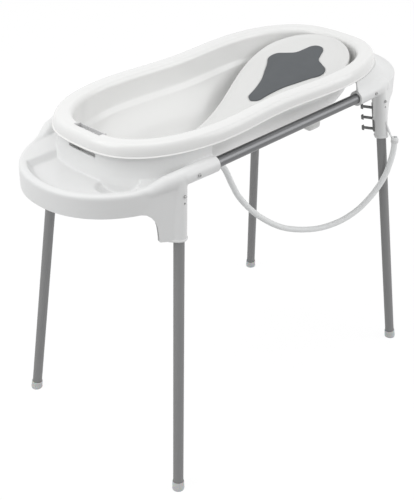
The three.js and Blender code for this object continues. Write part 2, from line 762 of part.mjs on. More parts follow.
// Hose: one tube along its route, and the clip that holds its open end at the post
function makeHose() {
  const curve = new THREE.CatmullRomCurve3(hoseRoute.map((point) => new THREE.Vector3(...point)));
  const section = new THREE.Shape(Array.from({ length: hoseSides }, (_, i) => {
    const angle = (i / hoseSides) * tau;
    return new THREE.Vector2(Math.cos(angle), Math.sin(angle)).multiplyScalar(hoseDiameter / 2);
  }));
  return new THREE.ExtrudeGeometry(section, { steps: hoseSteps, bevelEnabled: false, extrudePath: curve });
}

function makeClip() {
  const [x, y, z] = hoseRoute[hoseRoute.length - 1];
  const top = z - clipDrop;
  const inner = hoseDiameter / 2 + fitGap;
  const ring = pipe(inner + clipWall, inner, top - clipBand, top).translate(x, y, 0);
  const root = legPoint(1, -1, top + clipRise);
  const half = clipArmWidth / 2;
  const edge = y + inner + clipWall / 2;
  const arm = skin([
    [x, edge - clipWall / 2, edge + clipWall / 2, top - clipBand],
    [x, edge - clipWall / 2, edge + clipWall / 2, top],
    [mix(x, root.x, clipBendShare), root.y - postRadius - clipWall, root.y - socketRadius,
      mix(top, top + clipRise, clipBendShare)],
    [root.x, root.y - postRadius - clipWall, root.y - socketRadius, top + clipRise],
  ].map(([middle, outer, innerY, height]) => [
    new THREE.Vector3(middle - half, outer, height), new THREE.Vector3(middle + half, outer, height),
    new THREE.Vector3(middle + half, innerY, height), new THREE.Vector3(middle - half, innerY, height),
  ]));
  const post = rod(postRadius + shellWall / 2 + fitGap, 0, (postBottom + postWall) * legScale + fitGap)
    .applyMatrix4(legFrame(1, -1));
  const shaft = rod(postRadius + fitGap, 0, railHeight * legScale).applyMatrix4(legFrame(1, -1));
  const hose = rod(inner, 0, rimHeight).translate(x, y, 0);
  return cutBy(joined(solidOf(ring), solidOf(arm)), solidOf(post), solidOf(shaft), solidOf(hose));
}

// Overflow grille: a channel open to the bath and above, with slots in its floor
function makeGrille() {
  const low = bowlTop + fitGap;
  const x = overflowInset - bathLength / 2 + fitGap;
  const half = overflowLength / 2 - fitGap;
  const channel = block([x + overflowWall, overflowWall - half, low + overflowFloor],
    [0, half - overflowWall, rimHeight + cutOver]);
  const pitch = overflowLength / (overflowSlots + 1);
  const slots = Array.from({ length: overflowSlots }, (_, i) => {
    const y = (i - (overflowSlots - 1) / 2) * pitch;
    return solidOf(block([x + overflowWall * 2, y - pitch / 5, 0],
      [x + overflowWidth - overflowWall * 2, y + pitch / 5, rimHeight]));
  });
  return cutBy(solidOf(overflowBox(fitGap, low, rimHeight - overflowWall)), solidOf(channel), ...slots);
}

// Bath seat: a shell with a turned-down edge on four legs; its outline is a drop
const seatSteps = 20;

function seatHalfWidth(x) {
  const share = THREE.MathUtils.clamp((seatWideX - x) / (seatWideX - seatNarrowX), 0, 1);
  const width = mix(seatNarrowWidth, seatWidth, (1 + Math.cos(Math.PI * share)) / 2) / 2;
  const head = THREE.MathUtils.clamp((x - seatWideX) / (seatHeadX - seatWideX), 0, 1);
  const foot = THREE.MathUtils.clamp((seatFootX + seatRoundFoot - x) / seatRoundFoot, 0, 1);
  return width * Math.sqrt(1 - head ** 2) * Math.sqrt(1 - foot ** 2);
}

const seatTopAt = (x) => seatHeight + seatSlope * x;

// A closed outline moved inward by an inset, at right angles to itself
function drawnIn(outline, inset) {
  const count = outline.length;
  return outline.map(([x, y], i) => {
    const [ax, ay] = outline[(i + count - 1) % count];
    const [bx, by] = outline[(i + 1) % count];
    const length = Math.hypot(bx - ax, by - ay);
    return [x - ((by - ay) / length) * inset, y + ((bx - ax) / length) * inset];
  });
}

const mirroredAround = (side) => [...side, ...side.slice(1, -1).reverse().map(([x, y]) => [x, -y])];
const seatOutline = mirroredAround(Array.from({ length: seatSteps + 1 }, (_, i) => {
  const x = mix(seatHeadX, seatFootX, (1 - Math.cos((Math.PI * i) / seatSteps)) / 2);
  return [x, seatHalfWidth(x)];
}));
const onSeat = (outline, lift) => outline.map(([x, y]) => new THREE.Vector3(x, y, seatTopAt(x) + lift));
const seatRing = (inset, lift) => onSeat(drawnIn(seatOutline, inset), lift);

const padTop = floorTop + seatPadThickness;
const legSides = roundSides / 2;

function makeSeat() {
  const w = seatWall;
  const shell = solidOf(skin([
    seatRing(seatLip, -w),
    seatRing(w, seatRim - w),
    seatRing(w, seatRim - seatSkirt),
    seatRing(0, seatRim - seatSkirt),
    seatRing(0, seatRim - w),
    seatRing(w, seatRim),
    seatRing(seatLip, 0),
  ]));
  const legs = seatLegPlaces.flatMap(([x, y]) => [-1, 1].map((sy) => {
    const ring = (radius, heightAt) => Array.from({ length: legSides }, (_, i) => {
      const px = x + radius * Math.cos((i / legSides) * tau);
      return new THREE.Vector3(px, sy * y + radius * Math.sin((i / legSides) * tau), heightAt(px));
    });
    const low = ring(seatLegDiameter / 2 - w / 2, () => padTop + fitGap);
    return solidOf(skin([low, ring(seatLegDiameter / 2, (px) => seatTopAt(px) - w / 2)]));
  }));
  return joined(shell, ...legs);
}

function makeMat() {
  const outline = mirroredAround(matOutlineShares.map(([x, y]) => [matFootX + x * matLength, y * matLength]));
  const t = matThickness;
  return skin([
    onSeat(outline, fitGap), onSeat(outline, fitGap + t / 2), onSeat(drawnIn(outline, t / 2), fitGap + t),
  ]);
}

const pieceOf = (name, solid, material) => addPiece(name, geometryOf(solid), material);

// The stand
pieceOf('stand_end_foot', makeEnd(false), whitePlastic);
pieceOf('stand_end_head', makeEnd(true), whitePlastic).rotation.z = Math.PI;
[['rail_near', -1], ['rail_far', 1]].forEach(([name, sy]) => pieceOf(name, makeRail(sy), railMetal));
corners.forEach(([sx, sy], index) => {
  const number = index + 1;
  pieceOf(`leg_${number}`, makeLeg(sx, sy), greyPaint);
  pieceOf(`foot_cap_${number}`, makeCap(sx, sy), capPlastic);
  addPiece(`leg_button_${number}`, makeButton(sx, sy), railMetal);
  addPiece(`leg_spring_${number}`, makeSpring(sx, sy), springSteel);
  addPiece(`rail_screw_${number}`, makeScrew(sx, sy), springSteel);
});
addPiece('hose_rack', makeRack(), shadePlastic);
pieceOf('hose_clip', makeClip(), whitePlastic);

// The bath with its drain
pieceOf('bath_tub', makeTub(), bathPlastic);
pieceOf('overflow_grille', makeGrille(), bathPlastic);
pieceOf('drain_outlet', makeOutlet(), shadePlastic);
addPiece('drain_washer', pipe(washerDiameter / 2, drainBore, washerTop - washerThickness, washerTop)
  .translate(drainX, 0, 0), matRubber);
pieceOf('drain_nut', makeNut(), shadePlastic);
pieceOf('drain_plug', makePlug(), shadePlastic);
addPiece('drain_hose', makeHose(), hosePlastic);

// The seat in the bath
pieceOf('bath_seat', makeSeat(), bathPlastic);
addPiece('seat_mat', makeMat(), matRubber);
seatLegPlaces.flatMap(([x, y]) => [[x, -y], [x, y]]).forEach(([x, y], index) => {
  const pad = rod(seatPadDiameter / 2, floorTop, padTop, roundSides / 2);
  addPiece(`seat_foot_${index + 1}`, pad.translate(x, y, 0), matRubber);
});

export default group;
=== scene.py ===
import json
from math import acos, atan2, cos, exp, hypot, pi, radians, sin, sqrt
import bpy
from mathutils import Matrix, Vector

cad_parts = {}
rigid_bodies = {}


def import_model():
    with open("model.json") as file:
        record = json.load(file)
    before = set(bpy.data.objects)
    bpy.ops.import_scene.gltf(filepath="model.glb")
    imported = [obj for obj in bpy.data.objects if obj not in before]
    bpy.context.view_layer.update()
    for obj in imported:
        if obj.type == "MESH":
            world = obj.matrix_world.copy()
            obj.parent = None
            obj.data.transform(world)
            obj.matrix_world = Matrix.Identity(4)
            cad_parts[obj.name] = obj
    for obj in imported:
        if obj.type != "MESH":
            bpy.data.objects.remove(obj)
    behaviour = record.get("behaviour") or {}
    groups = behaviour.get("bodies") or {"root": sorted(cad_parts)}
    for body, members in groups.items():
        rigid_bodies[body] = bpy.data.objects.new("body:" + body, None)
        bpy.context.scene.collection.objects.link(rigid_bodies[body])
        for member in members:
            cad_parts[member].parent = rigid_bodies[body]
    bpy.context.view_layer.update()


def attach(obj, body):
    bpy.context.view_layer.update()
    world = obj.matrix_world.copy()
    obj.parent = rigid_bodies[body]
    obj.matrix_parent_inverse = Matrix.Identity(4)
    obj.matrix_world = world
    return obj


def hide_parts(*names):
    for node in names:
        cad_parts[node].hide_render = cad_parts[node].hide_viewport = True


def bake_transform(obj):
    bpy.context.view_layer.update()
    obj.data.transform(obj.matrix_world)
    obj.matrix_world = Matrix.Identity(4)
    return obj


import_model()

# Camera
# It stands where the photograph was taken from, solved from the edges of the bath and the stand.
# The photograph is 414 by 500 pixels.
photo_height = 500
focal_pixels = 1013.2
sensor = 36
camera_place = Vector((-1.6970, -1.5699, 1.7747))
camera_azimuth = radians(-46.246)
camera_elevation = radians(31.338)
camera_roll = radians(0.521)
bpy.ops.object.camera_add(location=camera_place)
camera = bpy.context.object
camera.data.sensor_fit = "VERTICAL"
camera.data.sensor_height = sensor
camera.data.sensor_width = sensor
camera.data.lens = focal_pixels / photo_height * sensor
away = Vector((
    sin(camera_azimuth) * cos(camera_elevation),
    -cos(camera_azimuth) * cos(camera_elevation),
    sin(camera_elevation),
))
level = (-away).cross(Vector((0, 0, 1))).normalized()
upward = level.cross(-away)
across = level * cos(camera_roll) + upward * sin(camera_roll)
above = upward * cos(camera_roll) - level * sin(camera_roll)
turn = Matrix((across, above, away)).transposed().to_4x4()
camera.matrix_world = Matrix.Translation(camera_place) @ turn
bpy.context.scene.camera = camera

# Drain hose
# A smooth white PVC hose of 15.5 mm with a 2 mm wall. It slips over the nozzle under the bath,
# hangs in an arc and ends open in the clip at the near post of the head end.
hose_diameter = 0.0155
hose_wall = 0.002
hose_round = 12
hose_steps = 10
hose_route = [
    (-0.1034, -0.0115, 0.6705), (-0.089, -0.0185, 0.6705), (-0.075, -0.0253, 0.6685),
    (-0.0614, -0.032, 0.6622), (-0.0497, -0.0377, 0.6522), (-0.04, -0.0425, 0.637),
    (-0.031, -0.0465, 0.616), (-0.022, -0.0505, 0.593), (-0.003, -0.059, 0.552),
    (0.029, -0.074, 0.507), (0.062, -0.091, 0.473), (0.104, -0.112, 0.442),
    (0.148, -0.134, 0.425), (0.192, -0.157, 0.418), (0.231, -0.177, 0.421),
    (0.269, -0.197, 0.434), (0.304, -0.215, 0.457), (0.332, -0.229, 0.487),
    (0.353, -0.24, 0.519), (0.368, -0.248, 0.553), (0.377, -0.2525, 0.59),
    (0.381, -0.255, 0.62), (0.381, -0.255, 0.64), (0.381, -0.255, 0.657),
]


def select_only(*pieces):
    bpy.ops.object.select_all(action="DESELECT")
    for piece in pieces:
        piece.select_set(True)
    bpy.context.view_layer.objects.active = pieces[0]


def finished_by(piece, kind, **values):
    """Adds a modifier, sets it and applies it."""
    modifier = piece.modifiers.new(kind.title(), kind)
    for name, value in values.items():
        setattr(modifier, name, value)
    select_only(piece)
    bpy.ops.object.modifier_apply(modifier=modifier.name)
    return piece


def placed(piece, body, slot, *nodes):
    """Writes the place into the mesh and hangs the piece on its body."""
    select_only(piece)
    bpy.ops.object.transform_apply(location=True, rotation=True, scale=True)
    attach(piece, body)
    if nodes:
        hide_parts(*nodes)
    return piece


def clad(piece, material):
    """Gives a piece one material, whatever its cuts left in its slots."""
    piece.data.materials.clear()
    piece.data.materials.append(material)
    for face in piece.data.polygons:
        face.material_index = 0
    return piece


def rounded_shading(piece, angle=35):
    select_only(piece)
    bpy.ops.object.shade_smooth_by_angle(angle=radians(angle))
    return piece


def through_points(points, steps):
    """A smooth line through the points of a route, a few steps for each span."""
    line = []
    for i in range(len(points) - 1):
        before, a, b, after = (Vector(points[min(max(i + k, 0), len(points) - 1)]) for k in (-1, 0, 1, 2))
        for k in range(steps):
            t = k / steps
            line.append((a * 2 + (b - before) * t + (before * 2 - a * 5 + b * 4 - after) * t ** 2
                         + (a * 3 - before - b * 3 + after) * t ** 3) / 2)
    return line + [Vector(points[-1])]


def hose_along(name, line, diameter):
    """A round tube along a line, as a mesh that is open at both ends."""
    bpy.ops.curve.primitive_nurbs_path_add()
    hose = bpy.context.object
    hose.name = name
    hose.data.splines.clear()
    spline = hose.data.splines.new("POLY")
    spline.points.add(len(line) - 1)
    for point, place in zip(spline.points, line):
        point.co = (*place, 1)
    hose.data.use_path = False
    hose.data.bevel_depth = diameter / 2
    hose.data.bevel_resolution = hose_round
    hose.data.use_fill_caps = False
    hose.location = (0, 0, 0)
    select_only(hose)
    bpy.ops.object.convert(target="MESH")
    return bpy.context.object


def finish(name, colour, roughness, shade=0.02, grain=0.012, coat=0.0, metal=0.0, size=900, through=0.0):
    """A surface with a faint grain, slow changes of gloss and a slight drift of the shade."""
    material = bpy.data.materials.new(name)
    material.use_nodes = True
    nodes, links = material.node_tree.nodes, material.node_tree.links
    surface = nodes["Principled BSDF"]
    surface.inputs["Coat Weight"].default_value = coat
    surface.inputs["Metallic"].default_value = metal
    surface.inputs["Subsurface Weight"].default_value = through
    surface.inputs["Subsurface Scale"].default_value = 0.004
    place = nodes.new("ShaderNodeTexCoord")
    drift = nodes.new("ShaderNodeTexNoise")
    drift.inputs["Scale"].default_value = 5
    drift.inputs["Detail"].default_value = 3
    links.new(place.outputs["Object"], drift.inputs["Vector"])
    tint = nodes.new("ShaderNodeMix")
    tint.data_type = "RGBA"
    tint.inputs["A"].default_value = (*[c * (1 - shade) for c in colour], 1)
    tint.inputs["B"].default_value = (*[min(1, c * (1 + shade)) for c in colour], 1)
    links.new(drift.outputs["Fac"], tint.inputs["Factor"])
    links.new(tint.outputs["Result"], surface.inputs["Base Color"])
    gloss = nodes.new("ShaderNodeTexNoise")
    gloss.inputs["Scale"].default_value = 38
    gloss.inputs["Detail"].default_value = 4
    links.new(place.outputs["Object"], gloss.inputs["Vector"])
    spread = nodes.new("ShaderNodeMapRange")
    spread.inputs["To Min"].default_value = roughness * 0.85
    spread.inputs["To Max"].default_value = roughness * 1.15
    links.new(gloss.outputs["Fac"], spread.inputs["Value"])
    links.new(spread.outputs["Result"], surface.inputs["Roughness"])
    fine = nodes.new("ShaderNodeTexNoise")
    fine.inputs["Scale"].default_value = size
    fine.inputs["Detail"].default_value = 2
    links.new(place.outputs["Object"], fine.inputs["Vector"])
    bump = nodes.new("ShaderNodeBump")
    bump.inputs["Strength"].default_value = grain
    bump.inputs["Distance"].default_value = 0.0005
    links.new(fine.outputs["Fac"], bump.inputs["Height"])
    links.new(bump.outputs["Normal"], surface.inputs["Normal"])
    return material


hose_line = through_points(hose_route, hose_steps)
hose = hose_along("hose_tube", hose_line, hose_diameter)
finished_by(hose, "SOLIDIFY", thickness=hose_wall, offset=-1)
rounded_shading(hose)
clad(hose, finish("white_hose", (0.92, 0.93, 0.93), 0.38, grain=0.03))
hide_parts("drain_hose")
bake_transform(hose)

# Bath tub
# One moulded white shell of 3 mm: a rolled rim with a fine flange, a bowl with a soft step
# along its wall and four feet under the floor. It lies with its rim on the two end pieces.
bath_length = 0.932
bath_width = 0.452
waist_depth = 0.027
waist_spread = 0.190
outline_power = 2.85
rim_top = 0.860
rim_band = 0.046
lip_drop = 0.029
bath_wall = 0.003
bath_floor = rim_top - 0.173
floor_inset = 0.175
bowl_power = 1.75
bowl_end_share = 0.3
step_height = rim_top - 0.064
step_depth = 0.005
bath_points = 224
bowl_stations = 44
bowl_top = rim_top - lip_drop / 2
lip_low = rim_top - lip_drop


def bath_point(angle, inset, end_inset):
    """A point of the bath's outline, a rounded oblong with a slight waist, drawn in by an inset."""
    along, side = cos(angle), sin(angle)
    reach = (abs(along) ** outline_power + abs(side) ** outline_power) ** (-1 / outline_power)
    x = (bath_length / 2 - end_inset) * reach * along
    waist = waist_depth * exp(-((x / waist_spread) ** 2))
    return x, (bath_width / 2 - inset - waist) * reach * side


def bath_ring(inset, z, end_inset=None):
    ends = inset if end_inset is None else end_inset
    return [Vector((*bath_point(2 * pi * i / bath_points, inset, ends), z)) for i in range(bath_points)]


def bowl_ring(inset, z):
    return bath_ring(inset, z, rim_band + (inset - rim_band) * bowl_end_share)


def mix(a, b, share):
    return a + (b - a) * share


def eased(low, high, value):
    share = min(max((value - low) / (high - low), 0), 1)
    return share * share * (3 - 2 * share)


def arc(middle, across, up, first, last, count):
    """Points of an elliptical arc in a section: (inset, height)."""
    turns = [mix(first, last, i / (count - 1)) for i in range(count)]
    return [(middle[0] + across * cos(t), middle[1] + up * sin(t)) for t in turns]


def skin_over(name, rings):
    """A closed skin over a stack of rings, with a face over each end."""
    count = len(rings[0])
    points = [tuple(point) for ring in rings for point in ring]
    faces = []
    for row in range(len(rings) - 1):
        near, far = row * count, (row + 1) * count
        for i in range(count):
            after = (i + 1) % count
            faces.append((near + i, near + after, far + after, far + i))
    last = (len(rings) - 1) * count
    faces += [tuple(reversed(range(count))), tuple(range(last, last + count))]
    mesh = bpy.data.meshes.new(name)
    mesh.from_pydata(points, [], faces)
    piece = bpy.data.objects.new(name, mesh)
    bpy.context.collection.objects.link(piece)
    select_only(piece)
    bpy.ops.object.mode_set(mode="EDIT")
    bpy.ops.mesh.select_all(action="SELECT")
    bpy.ops.mesh.normals_make_consistent(inside=False)
    bpy.ops.object.mode_set(mode="OBJECT")
    return piece


def joined_with(piece, tool, operation="DIFFERENCE"):
    finished_by(piece, "BOOLEAN", object=tool, operation=operation, solver="MANIFOLD")
    bpy.data.objects.remove(tool)
    return piece


def block(low, high, edge=0.0, segments=4):
    """A box between two corners, its edges rounded."""
    middle = [(a + b) / 2 for a, b in zip(low, high)]
    bpy.ops.mesh.primitive_cube_add(size=1, location=middle)
    piece = bpy.context.object
    piece.scale = [b - a for a, b in zip(low, high)]
    bpy.ops.object.transform_apply(location=True, rotation=True, scale=True)
    if edge:
        finished_by(piece, "BEVEL", width=edge, segments=segments)
    return piece


def round_bar(radius, start, end, sides=64):
    """A round bar between two points."""
    start, end = Vector(start), Vector(end)
    line = end - start
    bpy.ops.mesh.primitive_cylinder_add(vertices=sides, radius=radius, depth=line.length,
                                        location=(start + end) / 2)
    bar = bpy.context.object
    bar.rotation_mode = "QUATERNION"
    bar.rotation_quaternion = Vector((0, 0, 1)).rotation_difference(line)
    select_only(bar)
    bpy.ops.object.transform_apply(location=True, rotation=True, scale=True)
    return bar


def bowl_wall():
    """Inset and height of the bowl's inner wall, from the rim down to the floor."""
    stations = []
    for i in range(bowl_stations + 1):
        turn = pi / 2 * i / bowl_stations
        share = 1 - cos(turn) ** (2 / bowl_power)
        z = mix(bowl_top, bath_floor, sin(turn) ** (2 / bowl_power))
        step = step_depth * (1 - eased(step_height - bath_wall, step_height + bath_wall, z)) * (1 - share)
        stations.append((mix(rim_band, floor_inset, share) + step, z, share))
    return stations


wall_stations = bowl_wall()
inside_rings = [bowl_ring(inset, z) for inset, z, share in wall_stations]
outside_rings = [bowl_ring(inset - bath_wall, z - bath_wall * share)
                 for inset, z, share in reversed(wall_stations)]
crown_out, crown_in = 0.014, 0.034
flange_section = [(0.0046, 0.0018), (0.0036, 0.0002), (0.0012, 0), (0.0002, 0.0005),
                  (0, 0.0015), (0.0003, 0.0023), (0.0012, 0.0029), (0.0026, 0.0036)]
rim_section = (
    [(0.043, bowl_top + 0.004)]
    + arc((crown_in, bowl_top + 0.001), 0.009, 0.0105, 0.3, pi / 2, 5)
    + arc((crown_out, lip_low + 0.006), -0.008, 0.02, pi / 2, 0, 7)
    + [(inset, lip_low + rise) for inset, rise in flange_section]
    + arc((crown_out, lip_low + 0.006), -0.0112, 0.023, 0, pi / 2, 12)
    + [(mix(crown_out, crown_in, k / 4), rim_top - 0.0001) for k in (1, 2, 3)]
    + arc((crown_in, bowl_top), 0.012, lip_drop / 2, pi / 2, 0, 9)[:-1]
)
rim_rings = [bath_ring(inset, z) for inset, z in rim_section]
bath = skin_over("bath_shell", outside_rings + rim_rings + inside_rings)
foot_x, foot_y = 0.250, 0.080
foot_long, foot_wide, foot_high = 0.046, 0.030, 0.020
foot_root = 0.040
foot_edge = 0.0095
inner_rings = [bowl_ring(inset - bath_wall / 2, z - bath_wall / 2 * share)
               for inset, z, share in reversed(wall_stations)]
bath_inner = skin_over("bath_inner", inner_rings)
for side_x in (-1, 1):
    for side_y in (-1, 1):
        x, y = side_x * foot_x, side_y * foot_y
        foot = block((x - foot_long / 2, y - foot_wide / 2, bath_floor - foot_high),
                     (x + foot_long / 2, y + foot_wide / 2, bath_floor + foot_root), foot_edge, 6)
        finished_by(foot, "BOOLEAN", object=bath_inner, operation="DIFFERENCE", solver="MANIFOLD")
        joined_with(bath, foot, "UNION")
bpy.data.objects.remove(bath_inner)

overrun = 0.02
notch_long, notch_inset, notch_wide = 0.086, 0.029, 0.021
notch_x = notch_inset - bath_length / 2
joined_with(bath, block((notch_x, -notch_long / 2, bowl_top),
                        (notch_x + notch_wide, notch_long / 2, rim_top + overrun), 0.002))
drain_x = -0.127
drain_hole = 0.027
joined_with(bath, round_bar(drain_hole / 2, (drain_x, 0, bath_floor - overrun),
                            (drain_x, 0, bath_floor + overrun)))
rounded_shading(bath, 30)
bath_white = finish("glossy_white_bath", (0.84, 0.84, 0.83), 0.24, shade=0.012, grain=0.006, coat=0.15)
clad(bath, bath_white)
placed(bath, "tub", "bath_plastic", "bath_tub")

# End pieces
# Two moulded white shells carry the bath: a curved wall under its rim, arms with the sockets of the
# rails and posts with the sockets of the legs. The foot end has a tray, the head end a smooth roof.
rail_height = 0.788
rail_span = 0.419
rail_reach = 0.255
rail_insert = 0.080
leg_top_height = 0.766
foot_span_x, foot_span_y = 0.880, 0.554
leg_span_x, leg_span_y = 0.717, 0.410
tube_diameter = 0.025
tube_wall = 0.0015
fit_gap = 0.0003
mould_wall = 0.003
socket_radius = tube_diameter / 2 + fit_gap
post_wall = 0.005
post_radius = socket_radius + post_wall
post_bottom = 0.651
tray_span = 1.152
tray_width = 0.410
tray_power = 2.15
tray_root = 0.330
tray_cut = 0.352
tray_points = 72
crest_height = 0.779
crest_band = 0.020
skirt_bottom = 0.726
deck_height = 0.764
dish_stations = [(1.6, deck_height), (1.3, deck_height + 0.003), (1.05, deck_height + 0.009),
                 (0.85, crest_height + 0.004)]
platform_side, platform_middle, platform_slope = 0.102, 0.77125, 0.8
platform_front = 0.436
scoop_place = (0.450, 0.104, 0.787)
scoop_size = (0.042, 0.056, 0.042)
saddle_width = 0.044
saddle_top = lip_low - fit_gap
arm_radius = 0.0188
arm_sides = 48
arm_stations = [
    (0.240, 0.2098, rail_height, arm_radius), (rail_reach, 0.2095, rail_height, arm_radius),
    (0.300, 0.208, rail_height, arm_radius), (tray_cut, 0.206, rail_height, arm_radius),
    (0.392, 0.196, 0.783, 0.0175), (0.427, 0.182, 0.771, 0.013), (0.462, 0.168, 0.772, 0.007),
]
web_tail = 0.456
web_step = 0.0045
web_side, web_lean = 0.2, 0.37
web_heights = (0.640, 0.68, 0.72, 0.76, 0.775)
web_curve = [(0.456, 0.726), (0.444, 0.7235), (0.433, 0.716), (0.425, 0.706), (0.419, 0.692),
             (0.4165, 0.676), (0.4155, 0.662), (0.415, 0.640), (0.415, 0.5)]
lip_tail = 0.412
lip_section = [(0, 0.0004), (0.001, 0.0013), (0.0025, 0.0017), (0.004, 0.0013), (0.005, 0.0002)]
roof_width = 0.452
roof_shoulder = 0.797
roof_edge_power = 4
roof_power = 1.9
roof_shares = (0, 0.02, 0.06, 0.12, 0.2, 0.3, 0.4, 0.5, 0.6, 0.7, 0.8, 0.9, 1)
grip_width, grip_height, grip_drop = 0.088, 0.012, 0.006
rib_bottom, rib_reach = 0.765, 0.053
fine_voxel = 0.0021
trim_allowance = 0.012
cutter_radius, cutter_deep = 0.07, 0.06
sleeve_overlap, sleeve_clear = 0.0005, 0.004
sleeve_span = (0.60, 0.80)
post_span = (0.640, 0.79)
low_reach, far_reach = 0.62, 0.32
under_all, over_all = 0.6, 0.9


def signed_power(value, power):
    return (1 if value >= 0 else -1) * abs(value) ** (2 / power)


def tray_ring(inset, z):
    """The D-shaped outline of the foot end's tray at a height."""
    ring = []
    for i in range(tray_points + 1):
        angle = mix(pi / 2, 1.5 * pi, i / tray_points)
        reach = tray_span / 2 - inset - tray_root
        ring.append(Vector((-tray_root + reach * signed_power(cos(angle), tray_power),
                            (tray_width / 2 - inset) * signed_power(sin(angle), tray_power), z)))
    return ring


def tray_half_width(x):
    share = max(0, (x - tray_root) / (tray_span / 2 - tray_root))
    return tray_width / 2 * (1 - share ** tray_power) ** (1 / tray_power)


def roof_ring(share, drop=0.0):
    """A ring of the head end's roof, part of the way from its edge to the rim of the bath."""
    along = rail_reach / (bath_length / 2)
    start = atan2((1 - along ** outline_power) ** (1 / outline_power), -along)
    ring = []
    for i in range(tray_points + 1):
        angle = mix(pi / 2, 1.5 * pi, i / tray_points)
        x = (tray_span / 2 - rail_reach) * signed_power(cos(angle), tray_power) - rail_reach
        y = roof_width / 2 * signed_power(sin(angle), tray_power)
        edge = mix(crest_height, roof_shoulder, abs(sin(angle)) ** roof_edge_power)
        rim_x, rim_y = bath_point(mix(start, 2 * pi - start, i / tray_points), 0, 0)
        ring.append(Vector((mix(x, rim_x, share), mix(y, rim_y, share),
                            mix(edge, saddle_top + 0.004, share ** roof_power) - drop)))
    return ring


def leg_point(side_x, side_y, z):
    """The leg's axis at a height."""
    share = z / rail_height
    return Vector((side_x * mix(foot_span_x, leg_span_x, share) / 2,
                   side_y * mix(foot_span_y, leg_span_y, share) / 2, z))


def post_of(side, radius, low, high):
    """A round along a post between two heights."""
    return round_bar(radius, leg_point(-1, side, low), leg_point(-1, side, high))


def web_ring(side, z, tail_x, radius):
    """The post's plan at a height: a round that draws out to a tail in the tray's skirt."""
    centre = leg_point(-1, side, z)
    tail = Vector((-tail_x, side * tray_half_width(tail_x), z)) - centre
    heading = atan2(tail.y, tail.x)
    tangent = acos(radius / tail.length)
    ring = []
    for i in range(64):
        angle = 2 * pi * i / 64 - pi
        reach = radius / cos(max(0, tangent - abs(angle)))
        ring.append(centre + Vector((cos(angle + heading), sin(angle + heading), 0)) * reach)
    return ring


def arm_of(side):
    """A round arm that thins out into the crest of the tray."""
    rings = []
    for x, y, z, radius in arm_stations:
        turns = [2 * pi * i / arm_sides for i in range(arm_sides)]
        rings.append([Vector((-x, side * y + radius * cos(t), z + radius * sin(t))) for t in turns])
    return skin_over("arm", rings)


def saddle_rings(roofed):
    """The wall under the rim: heights with the insets at its sides and at its end."""
    stations = [(0.700, -0.017, -0.017), (0.764, -0.017, -0.017), (0.775, -0.0105, -0.0105),
                (0.790, -0.0055, -0.0055), (0.806, -0.0015, -0.0015), (0.842, -0.001, -0.001)]
    if not roofed:
        stations = [(0.700, -0.006, 0.008), (0.764, -0.006, 0.008), (0.772, -0.003, 0.0095),
                    (0.782, 0, 0.0115), (0.798, 0.003, 0.013), (0.842, 0.003, 0.013)]
    return [bath_ring(side, z, end) for z, side, end in stations]


def across_end(low, high, x=0.0):
    """A block over the whole end between two heights, up to an x."""
    return block((-low_reach, -far_reach, low), (x, far_reach, high))


def dish_cut():
    """The recess of the tray, short of the raised platform and of the step beside the arm."""
    dish = skin_over("dish", [tray_ring(crest_band * share, z) for share, z in dish_stations])
    platform = []
    for z in (0.7, 0.9):
        near = platform_side + (z - platform_middle) * platform_slope
        platform.append([Vector((x, y, z)) for x, y in (
            (-low_reach, near), (0, near), (0, far_reach), (-low_reach, far_reach))])
    joined_with(dish, skin_over("platform", platform))
    return joined_with(dish, block((-platform_front, -far_reach, 0.7), (0, 0, 0.9)))


def pocket_cut():
    """The soap pocket: an egg-shaped scoop that stops at the wall under the rim."""
    bpy.ops.mesh.primitive_uv_sphere_add(segments=48, ring_count=24)
    scoop = bpy.context.object
    scoop.scale = scoop_size
    scoop.rotation_euler.z = atan2(scoop_place[1], scoop_place[0]) * 2
    scoop.location = (-scoop_place[0], -scoop_place[1], scoop_place[2])
    select_only(scoop)
    bpy.ops.object.transform_apply(location=True, rotation=True, scale=True)
    return joined_with(scoop, skin_over("back", saddle_rings(False)))


def filled_end(name, roofed):
    """The outside of an end piece, filled, with its edges softened."""
    keep = joined_with(across_end(under_all, over_all, trim_allowance - tray_cut),
                       across_end(rail_height, over_all, trim_allowance - rail_reach), "UNION")
    end = skin_over(name, [
        tray_ring(0, 0.700), tray_ring(0, 0.771), tray_ring(0.0012, 0.7755),
        tray_ring(crest_band / 4, crest_height - 0.0006), tray_ring(crest_band / 2, crest_height),
    ])
    saddle = skin_over("saddle", saddle_rings(roofed))
    if roofed:
        rings = [roof_ring(0, 0.012)] + [roof_ring(share) for share in roof_shares] + [roof_ring(1, -0.01)]
        joined_with(saddle, skin_over("roof", rings), "UNION")
    else:
        joined_with(end, dish_cut())
        joined_with(end, pocket_cut())
    joined_with(end, saddle, "UNION")
    joined_with(end, keep, "INTERSECT")
    for side in (-1, 1):
        joined_with(end, arm_of(side), "UNION")
        web = [web_ring(side, z, web_tail, post_radius - web_step) for z in web_heights]
        joined_with(end, skin_over("web", web), "UNION")
        joined_with(end, post_of(side, post_radius, *post_span), "UNION")
    finished_by(end, "REMESH", mode="VOXEL", voxel_size=fine_voxel)
    finished_by(end, "SMOOTH", factor=0.5, iterations=12)
    return finished_by(end, "DECIMATE", ratio=0.28)


def grip_walls():
    """The walls that close the space behind the grip slot: one along the bath and a rib at each end."""
    band_inset = saddle_width - mould_wall
    walls = skin_over("band", [bath_ring(band_inset, 0.5), bath_ring(band_inset, over_all)])
    joined_with(walls, block((-low_reach, -rib_reach, rib_bottom), (0, rib_reach, over_all)), "INTERSECT")
    for low in (-rib_reach, rib_reach - mould_wall):
        rib = block((-low_reach, low, rib_bottom),
                    (-bath_length / 2 + saddle_width, low + mould_wall, over_all))
        joined_with(walls, rib, "UNION")
    return walls


